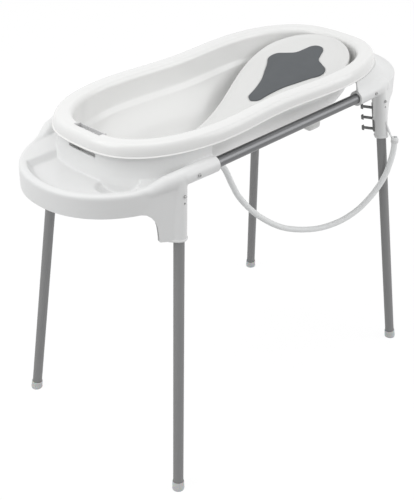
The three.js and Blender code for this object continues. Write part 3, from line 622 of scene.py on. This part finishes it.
def hollow_of(end):
    """The inside: the outside drawn in by one wall, apart from the sleeves, the arms and the grip."""
    hollow = end.copy()
    hollow.data = end.data.copy()
    bpy.context.collection.objects.link(hollow)
    finished_by(hollow, "DISPLACE", strength=-mould_wall, mid_level=0)
    joined_with(hollow, across_end(saddle_top - mould_wall, over_all))
    for side in (-1, 1):
        joined_with(hollow, post_of(side, post_radius - sleeve_overlap, *sleeve_span))
        joined_with(hollow, arm_of(side))
    return joined_with(hollow, grip_walls())


def trim_skirt(end):
    """Cuts the lower edge of the skirt, which runs down to each post in a curve."""
    outline = [(1, skirt_bottom)] + web_curve + [(1, 0.5)]
    for side in (-1, 1):
        trim = [[Vector((-x + web_lean * (web_side - y), side * y, z)) for x, z in outline]
                for y in (far_reach, 0)]
        joined_with(end, skin_over("trim", trim))
    for side in (-1, 1):
        joined_with(end, post_of(side, cutter_radius, post_bottom, post_bottom - cutter_deep))
        lip = [web_ring(side, post_bottom + rise, lip_tail, post_radius + grown)
               for rise, grown in lip_section]
        joined_with(end, skin_over("lip", lip), "UNION")


def open_underside(end):
    """Opens the shell from below, around the arms and the posts."""
    under_roof = rail_height + mould_wall + 0.001
    under_saddle = block((-tray_cut, -far_reach, under_all), (0, far_reach, under_roof))
    under_tray = skin_over("under_tray", [tray_ring(mould_wall, 0.65), tray_ring(mould_wall, 0.705)])
    for tool in (under_saddle, under_tray):
        for side in (-1, 1):
            joined_with(tool, arm_of(side))
            joined_with(tool, post_of(side, post_radius + sleeve_clear, *sleeve_span))
        joined_with(end, tool)


def end_piece(name, roofed):
    end = filled_end(name, roofed)
    hollow = hollow_of(end)
    joined_with(end, across_end(saddle_top, over_all))
    trim_skirt(end)
    joined_with(end, hollow)
    joined_with(end, block((-rail_reach, -far_reach, under_all), (0, far_reach, over_all)))
    open_underside(end)
    joined_with(end, skin_over("cavity", [bath_ring(saddle_width, 0.5), bath_ring(saddle_width, over_all)]))
    grip_top = saddle_top - grip_drop
    grip_back = -bath_length / 2 + saddle_width / 2
    joined_with(end, block((-low_reach, -grip_width / 2, grip_top - grip_height),
                           (grip_back, grip_width / 2, grip_top), 0.003))
    for side in (-1, 1):
        y = side * rail_span / 2
        socket = round_bar(socket_radius, (0, y, rail_height), (-rail_reach - rail_insert, y, rail_height))
        joined_with(end, socket)
        joined_with(end, post_of(side, socket_radius, 0.5, leg_top_height))
    if roofed:
        end.rotation_euler.z = pi
    return end


button_height = 0.752
button_diameter = 0.007
release_drop = 0.016
release_diameter = 0.005
screw_x = 0.318
screw_hole = 0.0052
screw_head = 0.009
screw_head_deep = 0.003
bore_reach = 0.03


def across_leg(side_x, side_y, z):
    """A point of the leg's axis and the outward direction square to it."""
    centre = leg_point(side_x, side_y, z)
    axis = (leg_point(side_x, side_y, rail_height) - leg_point(side_x, side_y, 0)).normalized()
    turn = Vector((0, 0, 1)).rotation_difference(axis)
    return centre, turn @ Vector((0, side_y, 0))


end_white = finish("satin_white_stand", (0.80, 0.803, 0.80), 0.33, shade=0.015, grain=0.015)
side_holes = ((button_height, button_diameter + 2 * fit_gap),
              (button_height - release_drop, release_diameter))
for name, roofed, node in (("foot_tray", False, "stand_end_foot"), ("head_roof", True, "stand_end_head")):
    end = end_piece(name, roofed)
    select_only(end)
    bpy.ops.object.transform_apply(location=True, rotation=True, scale=True)
    side_x = 1 if roofed else -1
    for side in (-1, 1):
        for z, diameter in side_holes:
            centre, outward = across_leg(side_x, side, z)
            joined_with(end, round_bar(diameter / 2, centre, centre + outward * bore_reach, 24))
        seat = Vector((side_x * screw_x, side * rail_span / 2, rail_height))
        face = seat + Vector((0, side * (arm_radius - screw_head_deep), 0))
        joined_with(end, round_bar(screw_hole / 2, seat, face + Vector((0, side * 0.001, 0)), 24))
        joined_with(end, round_bar(screw_head / 2 + fit_gap, face,
                                   seat + Vector((0, side * bore_reach, 0)), 32))
    rounded_shading(end, 38)
    clad(end, end_white)
    placed(end, "stand", "white_plastic", node)

# Rails
# Two bright drawn steel tubes of 25 mm join the end pieces. Each is pushed into the arms and held
# there by a screw at each end.
rail_metal = finish("drawn_steel", (0.165, 0.167, 0.172), 0.3, shade=0.03, grain=0.02, metal=0.7, size=400)


def tube(name, start, end):
    """A thin-walled tube of the stand's stock between two points, open at both ends."""
    start, end = Vector(start), Vector(end)
    line = end - start
    bpy.ops.mesh.primitive_cylinder_add(vertices=72, radius=tube_diameter / 2, depth=line.length,
                                        end_fill_type="NOTHING", location=(start + end) / 2)
    pipe = bpy.context.object
    pipe.name = name
    pipe.rotation_mode = "QUATERNION"
    pipe.rotation_quaternion = Vector((0, 0, 1)).rotation_difference(line)
    select_only(pipe)
    bpy.ops.object.transform_apply(location=True, rotation=True, scale=True)
    finished_by(pipe, "SOLIDIFY", thickness=tube_wall, offset=-1)
    return rounded_shading(pipe)


for name, side, node in (("rail_tube_near", -1, "rail_near"), ("rail_tube_far", 1, "rail_far")):
    reach = rail_reach + rail_insert
    y = side * rail_span / 2
    rail = tube(name, (-reach, y, rail_height), (reach, y, rail_height))
    for side_x in (-1, 1):
        seat = Vector((side_x * screw_x, y, rail_height))
        joined_with(rail, round_bar(screw_hole / 2, seat, seat + Vector((0, side * overrun, 0)), 24))
    clad(rail, rail_metal)
    placed(rail, "stand", "rail_metal", node)

# Legs and foot caps
# Four splayed steel tubes in grey powder coat, pushed into the posts. Each has a pale soft plastic
# cap, turned and hollow, pushed over its foot.
leg_paint = finish("grey_powder_coat", (0.255, 0.255, 0.257), 0.5,
                   shade=0.04, grain=0.05, metal=0.2, size=1500)
cap_plastic = finish("soft_pale_plastic", (0.62, 0.63, 0.63), 0.42, through=0.3)
cap_floor = 0.004
cap_profile = [
    (0.0098, -0.004), (0.0126, -0.0034), (0.0143, -0.001), (0.015, 0.003), (0.0149, 0.008), (0.0145, 0.013),
    (0.0144, 0.019), (0.0142, 0.0212), (0.0137, 0.022), (0.0131, 0.0217), (0.0128, 0.021), (0.0128, 0.004),
]
corners = [(-1, -1), (1, -1), (-1, 1), (1, 1)]


def leg_frame(side_x, side_y):
    """The leg's own frame: its foot on the floor and its Z axis up the leg."""
    axis = leg_point(side_x, side_y, rail_height) - leg_point(side_x, side_y, 0)
    turn = Vector((0, 0, 1)).rotation_difference(axis).to_matrix().to_4x4()
    return Matrix.Translation(leg_point(side_x, side_y, 0)) @ turn


def turned(name, profile, sides=64):
    """A body turned about the Z axis from a profile of radii and heights."""
    return skin_over(name, [[Vector((r * cos(2 * pi * i / sides), r * sin(2 * pi * i / sides), z))
                             for i in range(sides)] for r, z in profile])


def set_in(piece, matrix):
    piece.matrix_world = matrix
    select_only(piece)
    bpy.ops.object.transform_apply(location=True, rotation=True, scale=True)
    return piece


for number, (side_x, side_y) in enumerate(corners, 1):
    foot = leg_point(side_x, side_y, cap_floor + fit_gap)
    leg = tube(f"leg_tube_{number}", foot, leg_point(side_x, side_y, leg_top_height))
    centre, outward = across_leg(side_x, side_y, button_height)
    joined_with(leg, round_bar(button_diameter / 2 + fit_gap, centre, centre + outward * overrun, 24))
    clad(leg, leg_paint)
    placed(leg, "stand", "grey_paint", f"leg_{number}")
    cap = set_in(turned(f"foot_cup_{number}", cap_profile), leg_frame(side_x, side_y))
    joined_with(cap, block((-1, -1, -1), (1, 1, 0)))
    rounded_shading(cap)
    clad(cap, cap_plastic)
    placed(cap, "stand", "cap_plastic", f"foot_cap_{number}")

# Snap buttons, springs and screws
# A domed steel pin on a leaf snaps through each post and leg, and a small cross-head screw with a
# flat head holds each rail in its arm. The bent leaves inside the legs are the solids of the model.
bright = finish("bright_steel", (0.42, 0.42, 0.42), 0.3, metal=0.9, grain=0.02)
button_proud = 0.004
button_flange = 0.011
leaf_thick = 0.0008
leaf_wide = 0.009
leaf_long = 0.060
dome_edge = 0.0016
shank_radius = 0.00225
screw_edge = 0.0008
cross_long, cross_wide, cross_deep = 0.0026, 0.0005, 0.0012
bore_radius = tube_diameter / 2 - tube_wall
flange_face = sqrt(bore_radius ** 2 - (button_flange / 2) ** 2) - fit_gap
leaf_face = flange_face - 0.001
for number, (side_x, side_y) in enumerate(corners, 1):
    centre, outward = across_leg(side_x, side_y, button_height)
    head = post_radius + button_proud
    back = centre + outward * (leaf_face - leaf_thick)
    pin = round_bar(button_diameter / 2, back, centre + outward * head, 40)
    pin.name = f"button_pin_{number}"
    finished_by(pin, "BEVEL", width=dome_edge, segments=4, limit_method="ANGLE")
    flange = round_bar(button_flange / 2, back, centre + outward * flange_face, 40)
    leaf = block((-leaf_wide / 2, leaf_face - leaf_thick, -leaf_wide / 2),
                 (leaf_wide / 2, leaf_face, leaf_long))
    if side_y < 0:
        leaf.rotation_euler.z = pi
        select_only(leaf)
        bpy.ops.object.transform_apply(location=True, rotation=True, scale=True)
    lift = (centre - leg_point(side_x, side_y, 0)).length
    leaf.data.transform(Matrix.Scale(-1, 4, (0, 0, 1)))
    leaf.data.flip_normals()
    set_in(leaf, leg_frame(side_x, side_y) @ Matrix.Translation((0, 0, lift)))
    joined_with(flange, leaf, "UNION")
    joined_with(pin, flange, "UNION")
    rounded_shading(pin)
    clad(pin, bright)
    placed(pin, f"button_{number}", "rail_metal", f"leg_button_{number}")
    spring = bpy.data.objects[f"leg_spring_{number}"]
    clad(spring, bright)

    side = Vector((0, side_y, 0))
    axis = Vector((side_x * screw_x, side_y * rail_span / 2, rail_height))
    seat = axis + side * (arm_radius - screw_head_deep + fit_gap)
    shank = round_bar(shank_radius, axis + side * (bore_radius - 0.003), seat + side * 0.001, 24)
    screw = round_bar(screw_head / 2, seat, axis + side * arm_radius, 40)
    screw.name = f"screw_{number}"
    finished_by(screw, "BEVEL", width=screw_edge, segments=3, limit_method="ANGLE")
    joined_with(screw, shank, "UNION")
    face = axis + side * arm_radius
    for arms in ((cross_long, cross_deep, cross_wide), (cross_wide, cross_deep, cross_long)):
        joined_with(screw, block(face - Vector(arms), face + Vector(arms)))
    rounded_shading(screw)
    clad(screw, bright)
    placed(screw, "stand", "spring_steel", f"rail_screw_{number}")

# Hose rack and hose clip
# A comb with three forked hooks, snapped to a post of the head end, holds the rolled-up hose;
# a white loop under it holds the open end. Both are moulded and have softened edges. The comb's dark grey
# is painted shade.


def softened(node, name, width):
    """A copy of one of the model's solids, merged and with its edges rounded."""
    source = bpy.data.objects[node]
    piece = source.copy()
    piece.data = source.data.copy()
    piece.name = name
    bpy.context.collection.objects.link(piece)
    piece.parent = None
    piece.matrix_world = source.matrix_world
    piece.data.materials.clear()
    select_only(piece)
    bpy.ops.object.mode_set(mode="EDIT")
    bpy.ops.mesh.select_all(action="SELECT")
    bpy.ops.mesh.remove_doubles(threshold=0.00001)
    bpy.ops.mesh.dissolve_limited(angle_limit=radians(1))
    bpy.ops.mesh.normals_make_consistent(inside=False)
    bpy.ops.object.mode_set(mode="OBJECT")
    finished_by(piece, "BEVEL", width=width, segments=3, limit_method="ANGLE", angle_limit=radians(40))
    return rounded_shading(piece, 40)


# On the hook comb this dark grey is painted shade, the shade on the inner side of the post; the outlet, nut
# and plug have it as their own grey.
grey_plastic_and_painted_shade = finish("grey_nylon_and_painted_shade", (0.17, 0.172, 0.172), 0.5, grain=0.03)
rack = softened("hose_rack", "hook_comb", 0.0007)
clad(rack, grey_plastic_and_painted_shade)
placed(rack, "stand", "shade_plastic", "hose_rack")
clip = softened("hose_clip", "hose_loop", 0.0005)
clad(clip, end_white)
placed(clip, "stand", "white_plastic", "hose_clip")

# Overflow grille
# A moulded channel with small slots is snapped into the notch of the rim at the foot end.
# A thin weir with two round holes closes it towards the bath. Their pale grey is painted shade: it stands
# in for the shade inside the notch.
grille = softened("overflow_grille", "overflow_channel", 0.0006)
weir_thick, weir_low, weir_top = 0.0025, bowl_top + fit_gap, rim_top - 0.0035
weir_x = notch_x + notch_wide - fit_gap
weir_half = notch_long / 2 - fit_gap
weir_hole, weir_hole_rise, weir_hole_places = 0.004, 0.006, (0.012, 0.022)
weir = block((weir_x - weir_thick, -weir_half, weir_low), (weir_x, weir_half, weir_top), 0.0008)
through = Vector((0.01, 0, 0))
for y in weir_hole_places:
    middle = Vector((weir_x, y, weir_low + weir_hole_rise))
    joined_with(weir, round_bar(weir_hole / 2, middle - through, middle + through, 24))
joined_with(grille, weir, "UNION")
rounded_shading(grille, 40)
# The pale grey is painted shade, standing in for the shade inside the rim's notch.
clad(grille, finish("pale_grey_painted_shade", (0.60, 0.60, 0.60), 0.4, grain=0.02))
placed(grille, "tub", "bath_plastic", "overflow_grille")

# Drain outlet, washer, nut and plug
# A grey flanged outlet passes through the floor of the bath. A rubber washer and a nut clamp it from
# below, its side nozzle takes the hose, and a plug with a pull tab closes it.
floor_top = bath_floor + fit_gap
floor_under = bath_floor - bath_wall
flange_top = floor_top + 0.003
body_bottom = floor_under - 0.020
drain_inner = 0.012 - 0.0017
outlet = turned("outlet_cup", [
    (0.0115, body_bottom), (0.012, body_bottom + 0.0005), (0.012, floor_top - 0.0002), (0.0216, floor_top),
    (0.022, floor_top + 0.0006), (0.0215, flange_top - 0.0008), (0.0196, flange_top),
    (drain_inner + 0.0004, flange_top), (drain_inner, flange_top - 0.0006),
    (drain_inner, body_bottom + 0.0022), (drain_inner - 0.0005, body_bottom + 0.0017),
])
outlet.location.x = drain_x
select_only(outlet)
bpy.ops.object.transform_apply(location=True, rotation=True, scale=True)
nozzle_z = hose_route[0][2]
nozzle_turn = radians(-26)
nozzle_way = Vector((cos(nozzle_turn), sin(nozzle_turn), 0))
nozzle_root = Vector((drain_x, 0, nozzle_z))
nozzle_radius, nozzle_bore, nozzle_long = 0.006, 0.004, 0.026
nozzle = round_bar(nozzle_radius, nozzle_root + nozzle_way * (drain_inner + 0.0008),
                   nozzle_root + nozzle_way * nozzle_long, 40)
joined_with(outlet, nozzle, "UNION")
joined_with(outlet, round_bar(nozzle_bore, nozzle_root, nozzle_root + nozzle_way * 0.03, 40))
rounded_shading(outlet)
clad(outlet, grey_plastic_and_painted_shade)
placed(outlet, "tub", "shade_plastic", "drain_outlet")

rubber = finish("dark_rubber", (0.105, 0.113, 0.12), 0.72, shade=0.05, grain=0.12, size=1400)
clamp_bore = 0.0123
washer_top = floor_under - fit_gap
washer_thick = 0.002
washer = turned("sealing_ring", [
    (clamp_bore, washer_top - washer_thick), (0.0176, washer_top - washer_thick),
    (0.018, washer_top - 0.0015), (0.018, washer_top - 0.0005), (0.0176, washer_top),
    (clamp_bore, washer_top),
])
joined_with(washer, round_bar(clamp_bore, (0, 0, washer_top - 0.01), (0, 0, washer_top + 0.01)))
washer.location.x = drain_x
rounded_shading(washer)
clad(washer, rubber)
placed(washer, "tub", "mat_rubber", "drain_washer")

nut_top = washer_top - washer_thick - fit_gap
nut_reach, nut_thick = 0.021, 0.004
nut = round_bar(nut_reach, (drain_x, 0, nut_top - nut_thick), (drain_x, 0, nut_top), 6)
nut.name = "clamping_nut"
finished_by(nut, "BEVEL", width=0.0008, segments=3)
joined_with(nut, round_bar(clamp_bore, (drain_x, 0, nut_top - 0.01), (drain_x, 0, nut_top + 0.01)))
rounded_shading(nut)
clad(nut, grey_plastic_and_painted_shade)
placed(nut, "tub", "shade_plastic", "drain_nut")

plug_low = flange_top + fit_gap
plug_radius = drain_inner - fit_gap
plug = turned("plug_stopper", [
    (plug_radius - 0.001, plug_low - 0.007), (plug_radius, plug_low - 0.006),
    (plug_radius, plug_low - 0.0002), (0.0146, plug_low), (0.015, plug_low + 0.0006),
    (0.0147, plug_low + 0.0014), (0.0125, plug_low + 0.0025),
])
plug.location.x = drain_x
select_only(plug)
bpy.ops.object.transform_apply(location=True, rotation=True, scale=True)
tab_thick, tab_wide, tab_high, tab_edge = 0.003, 0.012, 0.0145, 0.0013
tab = block((drain_x - tab_thick / 2, -tab_wide / 2, plug_low),
            (drain_x + tab_thick / 2, tab_wide / 2, plug_low + tab_high), tab_edge)
joined_with(plug, tab, "UNION")
rounded_shading(plug)
clad(plug, grey_plastic_and_painted_shade)
placed(plug, "plug", "shade_plastic", "drain_plug")

# Bath seat
# A white moulded shell in the outline of a drop: a rounded rim with its edge turned down, four short
# legs under it and a fine bead around the place of the mat.
seat_foot_x, seat_head_x = -0.080, 0.413
seat_wide_x, seat_narrow_x = 0.282, -0.061
seat_width, seat_narrow_width = 0.262, 0.082
seat_round_foot = 0.024
seat_height = 0.739
seat_slope = 0.275
seat_points = 110
mat_long = 0.270
mat_foot_x = 0.097
mat_thick = 0.0025
mat_outline = [
    (1, 0), (0.989, 0.044), (0.952, 0.081), (0.885, 0.107), (0.811, 0.144), (0.763, 0.222),
    (0.722, 0.296), (0.667, 0.326), (0.607, 0.322), (0.53, 0.267), (0.433, 0.211),
    (0.311, 0.141), (0.196, 0.1), (0.115, 0.081), (0.041, 0.063), (0, 0),
]


def seat_half_width(x):
    share = min(max((seat_wide_x - x) / (seat_wide_x - seat_narrow_x), 0), 1)
    width = mix(seat_narrow_width, seat_width, (1 + cos(pi * share)) / 2) / 2
    head = min(max((x - seat_wide_x) / (seat_head_x - seat_wide_x), 0), 1)
    foot = min(max((seat_foot_x + seat_round_foot - x) / seat_round_foot, 0), 1)
    return width * sqrt(1 - head ** 2) * sqrt(1 - foot ** 2)


def mirrored_around(side):
    return side + [(x, -y) for x, y in reversed(side[1:-1])]


def drawn_in(outline, inset):
    """A closed outline moved inward, square to itself."""
    moved = []
    for i, (x, y) in enumerate(outline):
        (ax, ay), (bx, by) = outline[i - 1], outline[(i + 1) % len(outline)]
        reach = hypot(bx - ax, by - ay)
        moved.append((x - (by - ay) / reach * inset, y + (bx - ax) / reach * inset))
    return moved


def on_seat(outline, lift):
    return [Vector((x, y, seat_height + seat_slope * x + lift)) for x, y in outline]


seat_edge = []
for i in range(seat_points + 1):
    x = mix(seat_head_x, seat_foot_x, (1 - cos(pi * i / seat_points)) / 2)
    seat_edge.append((x, seat_half_width(x)))
seat_edge = mirrored_around(seat_edge)
seat_section = [
    (0.022, -0.003), (0.016, -0.0028), (0.012, -0.0018), (0.008, 0.0005), (0.0055, 0.0016), (0.003, 0.0005),
    (0.003, -0.0108), (0.0024, -0.0112), (0.0006, -0.0112), (0, -0.0106), (0, 0.001), (0.0006, 0.003),
    (0.0018, 0.0044), (0.0036, 0.005), (0.0058, 0.0048), (0.009, 0.0035), (0.0125, 0.0014), (0.016, 0.0003),
    (0.022, 0),
]
seat_rings = [on_seat(drawn_in(seat_edge, inset), lift) for inset, lift in seat_section]
seat_shell = skin_over("drop_seat", seat_rings)
pad_thick = 0.005
pad_top = floor_top + pad_thick
soft_edge = 0.001
seat_leg_radius, seat_leg_sunk = 0.009, 0.0015
leg_places = ((-0.040, 0.016), (0.180, 0.026))
for x, y in leg_places:
    for side in (-1, 1):
        leg_top = seat_height + seat_slope * x - seat_leg_sunk
        leg = round_bar(seat_leg_radius, (x, side * y, pad_top + fit_gap), (x, side * y, leg_top), 40)
        finished_by(leg, "BEVEL", width=soft_edge, segments=2, limit_method="ANGLE")
        joined_with(seat_shell, leg, "UNION")
mat_steps = 8
mat_route = [(1, -0.044)] + mat_outline + [(0, -0.063)]
mat_side = through_points([(x, y, 0) for x, y in mat_route], mat_steps)
mat_side = [(mat_foot_x + p.x * mat_long, max(0, p.y) * mat_long) for p in mat_side[mat_steps:-mat_steps]]
mat_edge = mirrored_around(mat_side)
bead_width, bead_gap, bead_lift = 0.0018, 0.0022, 0.0002
bead_line = on_seat(drawn_in(mat_edge, -bead_gap), bead_lift)
bead = hose_along("bead", bead_line + bead_line[:1], bead_width)
select_only(seat_shell, bead)
bpy.ops.object.join()
rounded_shading(seat_shell, 35)
seat_white = finish("glossy_white_seat", (0.76, 0.76, 0.75), 0.25, shade=0.012, grain=0.006, coat=0.15)
clad(seat_shell, seat_white)
placed(seat_shell, "seat", "bath_plastic", "bath_seat")

# Seat mat
# A soft dark grey rubber pad with four lobes lies on the seat, inside its bead.
# It is a flat sheet whose upper edge is rounded.
mat_section = [
    (0.0002, 0), (0, 0.0004), (0, mat_thick - 0.0012), (0.0003, mat_thick - 0.0005),
    (0.0009, mat_thick - 0.0001), (0.0018, mat_thick),
]
mat_rings = [on_seat(drawn_in(mat_edge, inset), fit_gap + lift) for inset, lift in mat_section]
mat = skin_over("soft_mat", mat_rings)
rounded_shading(mat, 40)
clad(mat, rubber)
placed(mat, "seat", "mat_rubber", "seat_mat")

# Seat feet
# Small round rubber pads with rounded edges, between the seat's legs and the floor of the bath.
# They keep the seat from sliding.
seat_foot_radius = 0.0085
feet = [(x, side * y) for x, y in leg_places for side in (-1, 1)]
for number, (x, y) in enumerate(feet, 1):
    pad = round_bar(seat_foot_radius, (x, y, floor_top), (x, y, pad_top), 40)
    pad.name = f"seat_pad_{number}"
    finished_by(pad, "BEVEL", width=soft_edge, segments=3, limit_method="ANGLE")
    rounded_shading(pad)
    clad(pad, rubber)
    placed(pad, "seat", "mat_rubber", f"seat_foot_{number}")

# Floor, light and background
# A plain pale floor, seen as white by the camera and in the metal, and three soft lamps at a level
# that keeps the shade of the plastic.
pure_white = (1, 1, 1, 1)
floor_shade = (0.52, 0.52, 0.52, 1)
floor_glow, glow_share = 1.15, 0.8
room_shade = (0.635, 0.637, 0.64, 1)
lamps = (((-2.1, 0.5, 2.3), 1.8, 21), ((1.9, -2.2, 1.9), 2.0, 24), ((-0.2, 0.2, 3.0), 2.4, 11))
lamp_aim = Vector((0, 0, 0.75))


def seen_as_backdrop(nodes, links):
    """One for rays from the camera and for those that a shiny or clear surface sends on."""
    rays = nodes.new("ShaderNodeLightPath")
    share = rays.outputs["Is Camera Ray"]
    for ray in ("Is Glossy Ray", "Is Transmission Ray"):
        either = nodes.new("ShaderNodeMath")
        either.operation = "MAXIMUM"
        links.new(share, either.inputs[0])
        links.new(rays.outputs[ray], either.inputs[1])
        share = either.outputs["Value"]
    return share


bpy.ops.mesh.primitive_plane_add(size=30, location=(0, 0, -0.0005))
floor = bpy.context.object
floor.name = "studio_floor"
paper = bpy.data.materials.new("white_paper")
paper.use_nodes = True
nodes, links = paper.node_tree.nodes, paper.node_tree.links
surface = nodes["Principled BSDF"]
surface.inputs["Base Color"].default_value = floor_shade
surface.inputs["Roughness"].default_value = 0.9
glow = nodes.new("ShaderNodeEmission")
glow.inputs["Color"].default_value = pure_white
glow.inputs["Strength"].default_value = floor_glow
share = nodes.new("ShaderNodeMath")
share.operation = "MULTIPLY"
share.inputs[1].default_value = glow_share
links.new(seen_as_backdrop(nodes, links), share.inputs[0])
blendin = nodes.new("ShaderNodeMixShader")
links.new(share.outputs["Value"], blendin.inputs["Fac"])
links.new(surface.outputs["BSDF"], blendin.inputs[1])
links.new(glow.outputs["Emission"], blendin.inputs[2])
links.new(blendin.outputs["Shader"], nodes["Material Output"].inputs["Surface"])
clad(floor, paper)

world = bpy.data.worlds.new("studio")
bpy.context.scene.world = world
world.use_nodes = True
nodes, links = world.node_tree.nodes, world.node_tree.links
room = nodes["Background"]
room.inputs["Color"].default_value = room_shade
white = nodes.new("ShaderNodeBackground")
white.inputs["Color"].default_value = pure_white
both = nodes.new("ShaderNodeMixShader")
links.new(seen_as_backdrop(nodes, links), both.inputs["Fac"])
links.new(room.outputs["Background"], both.inputs[1])
links.new(white.outputs["Background"], both.inputs[2])
links.new(both.outputs["Shader"], nodes["World Output"].inputs["Surface"])

for place, size, power in lamps:
    bpy.ops.object.light_add(type="AREA", location=place)
    lamp = bpy.context.object
    lamp.data.size = size
    lamp.data.energy = power
    lamp.rotation_mode = "QUATERNION"
    lamp.rotation_quaternion = (Vector(place) - lamp_aim).to_track_quat("Z", "Y")

bpy.context.scene.view_settings.view_transform = "Standard"
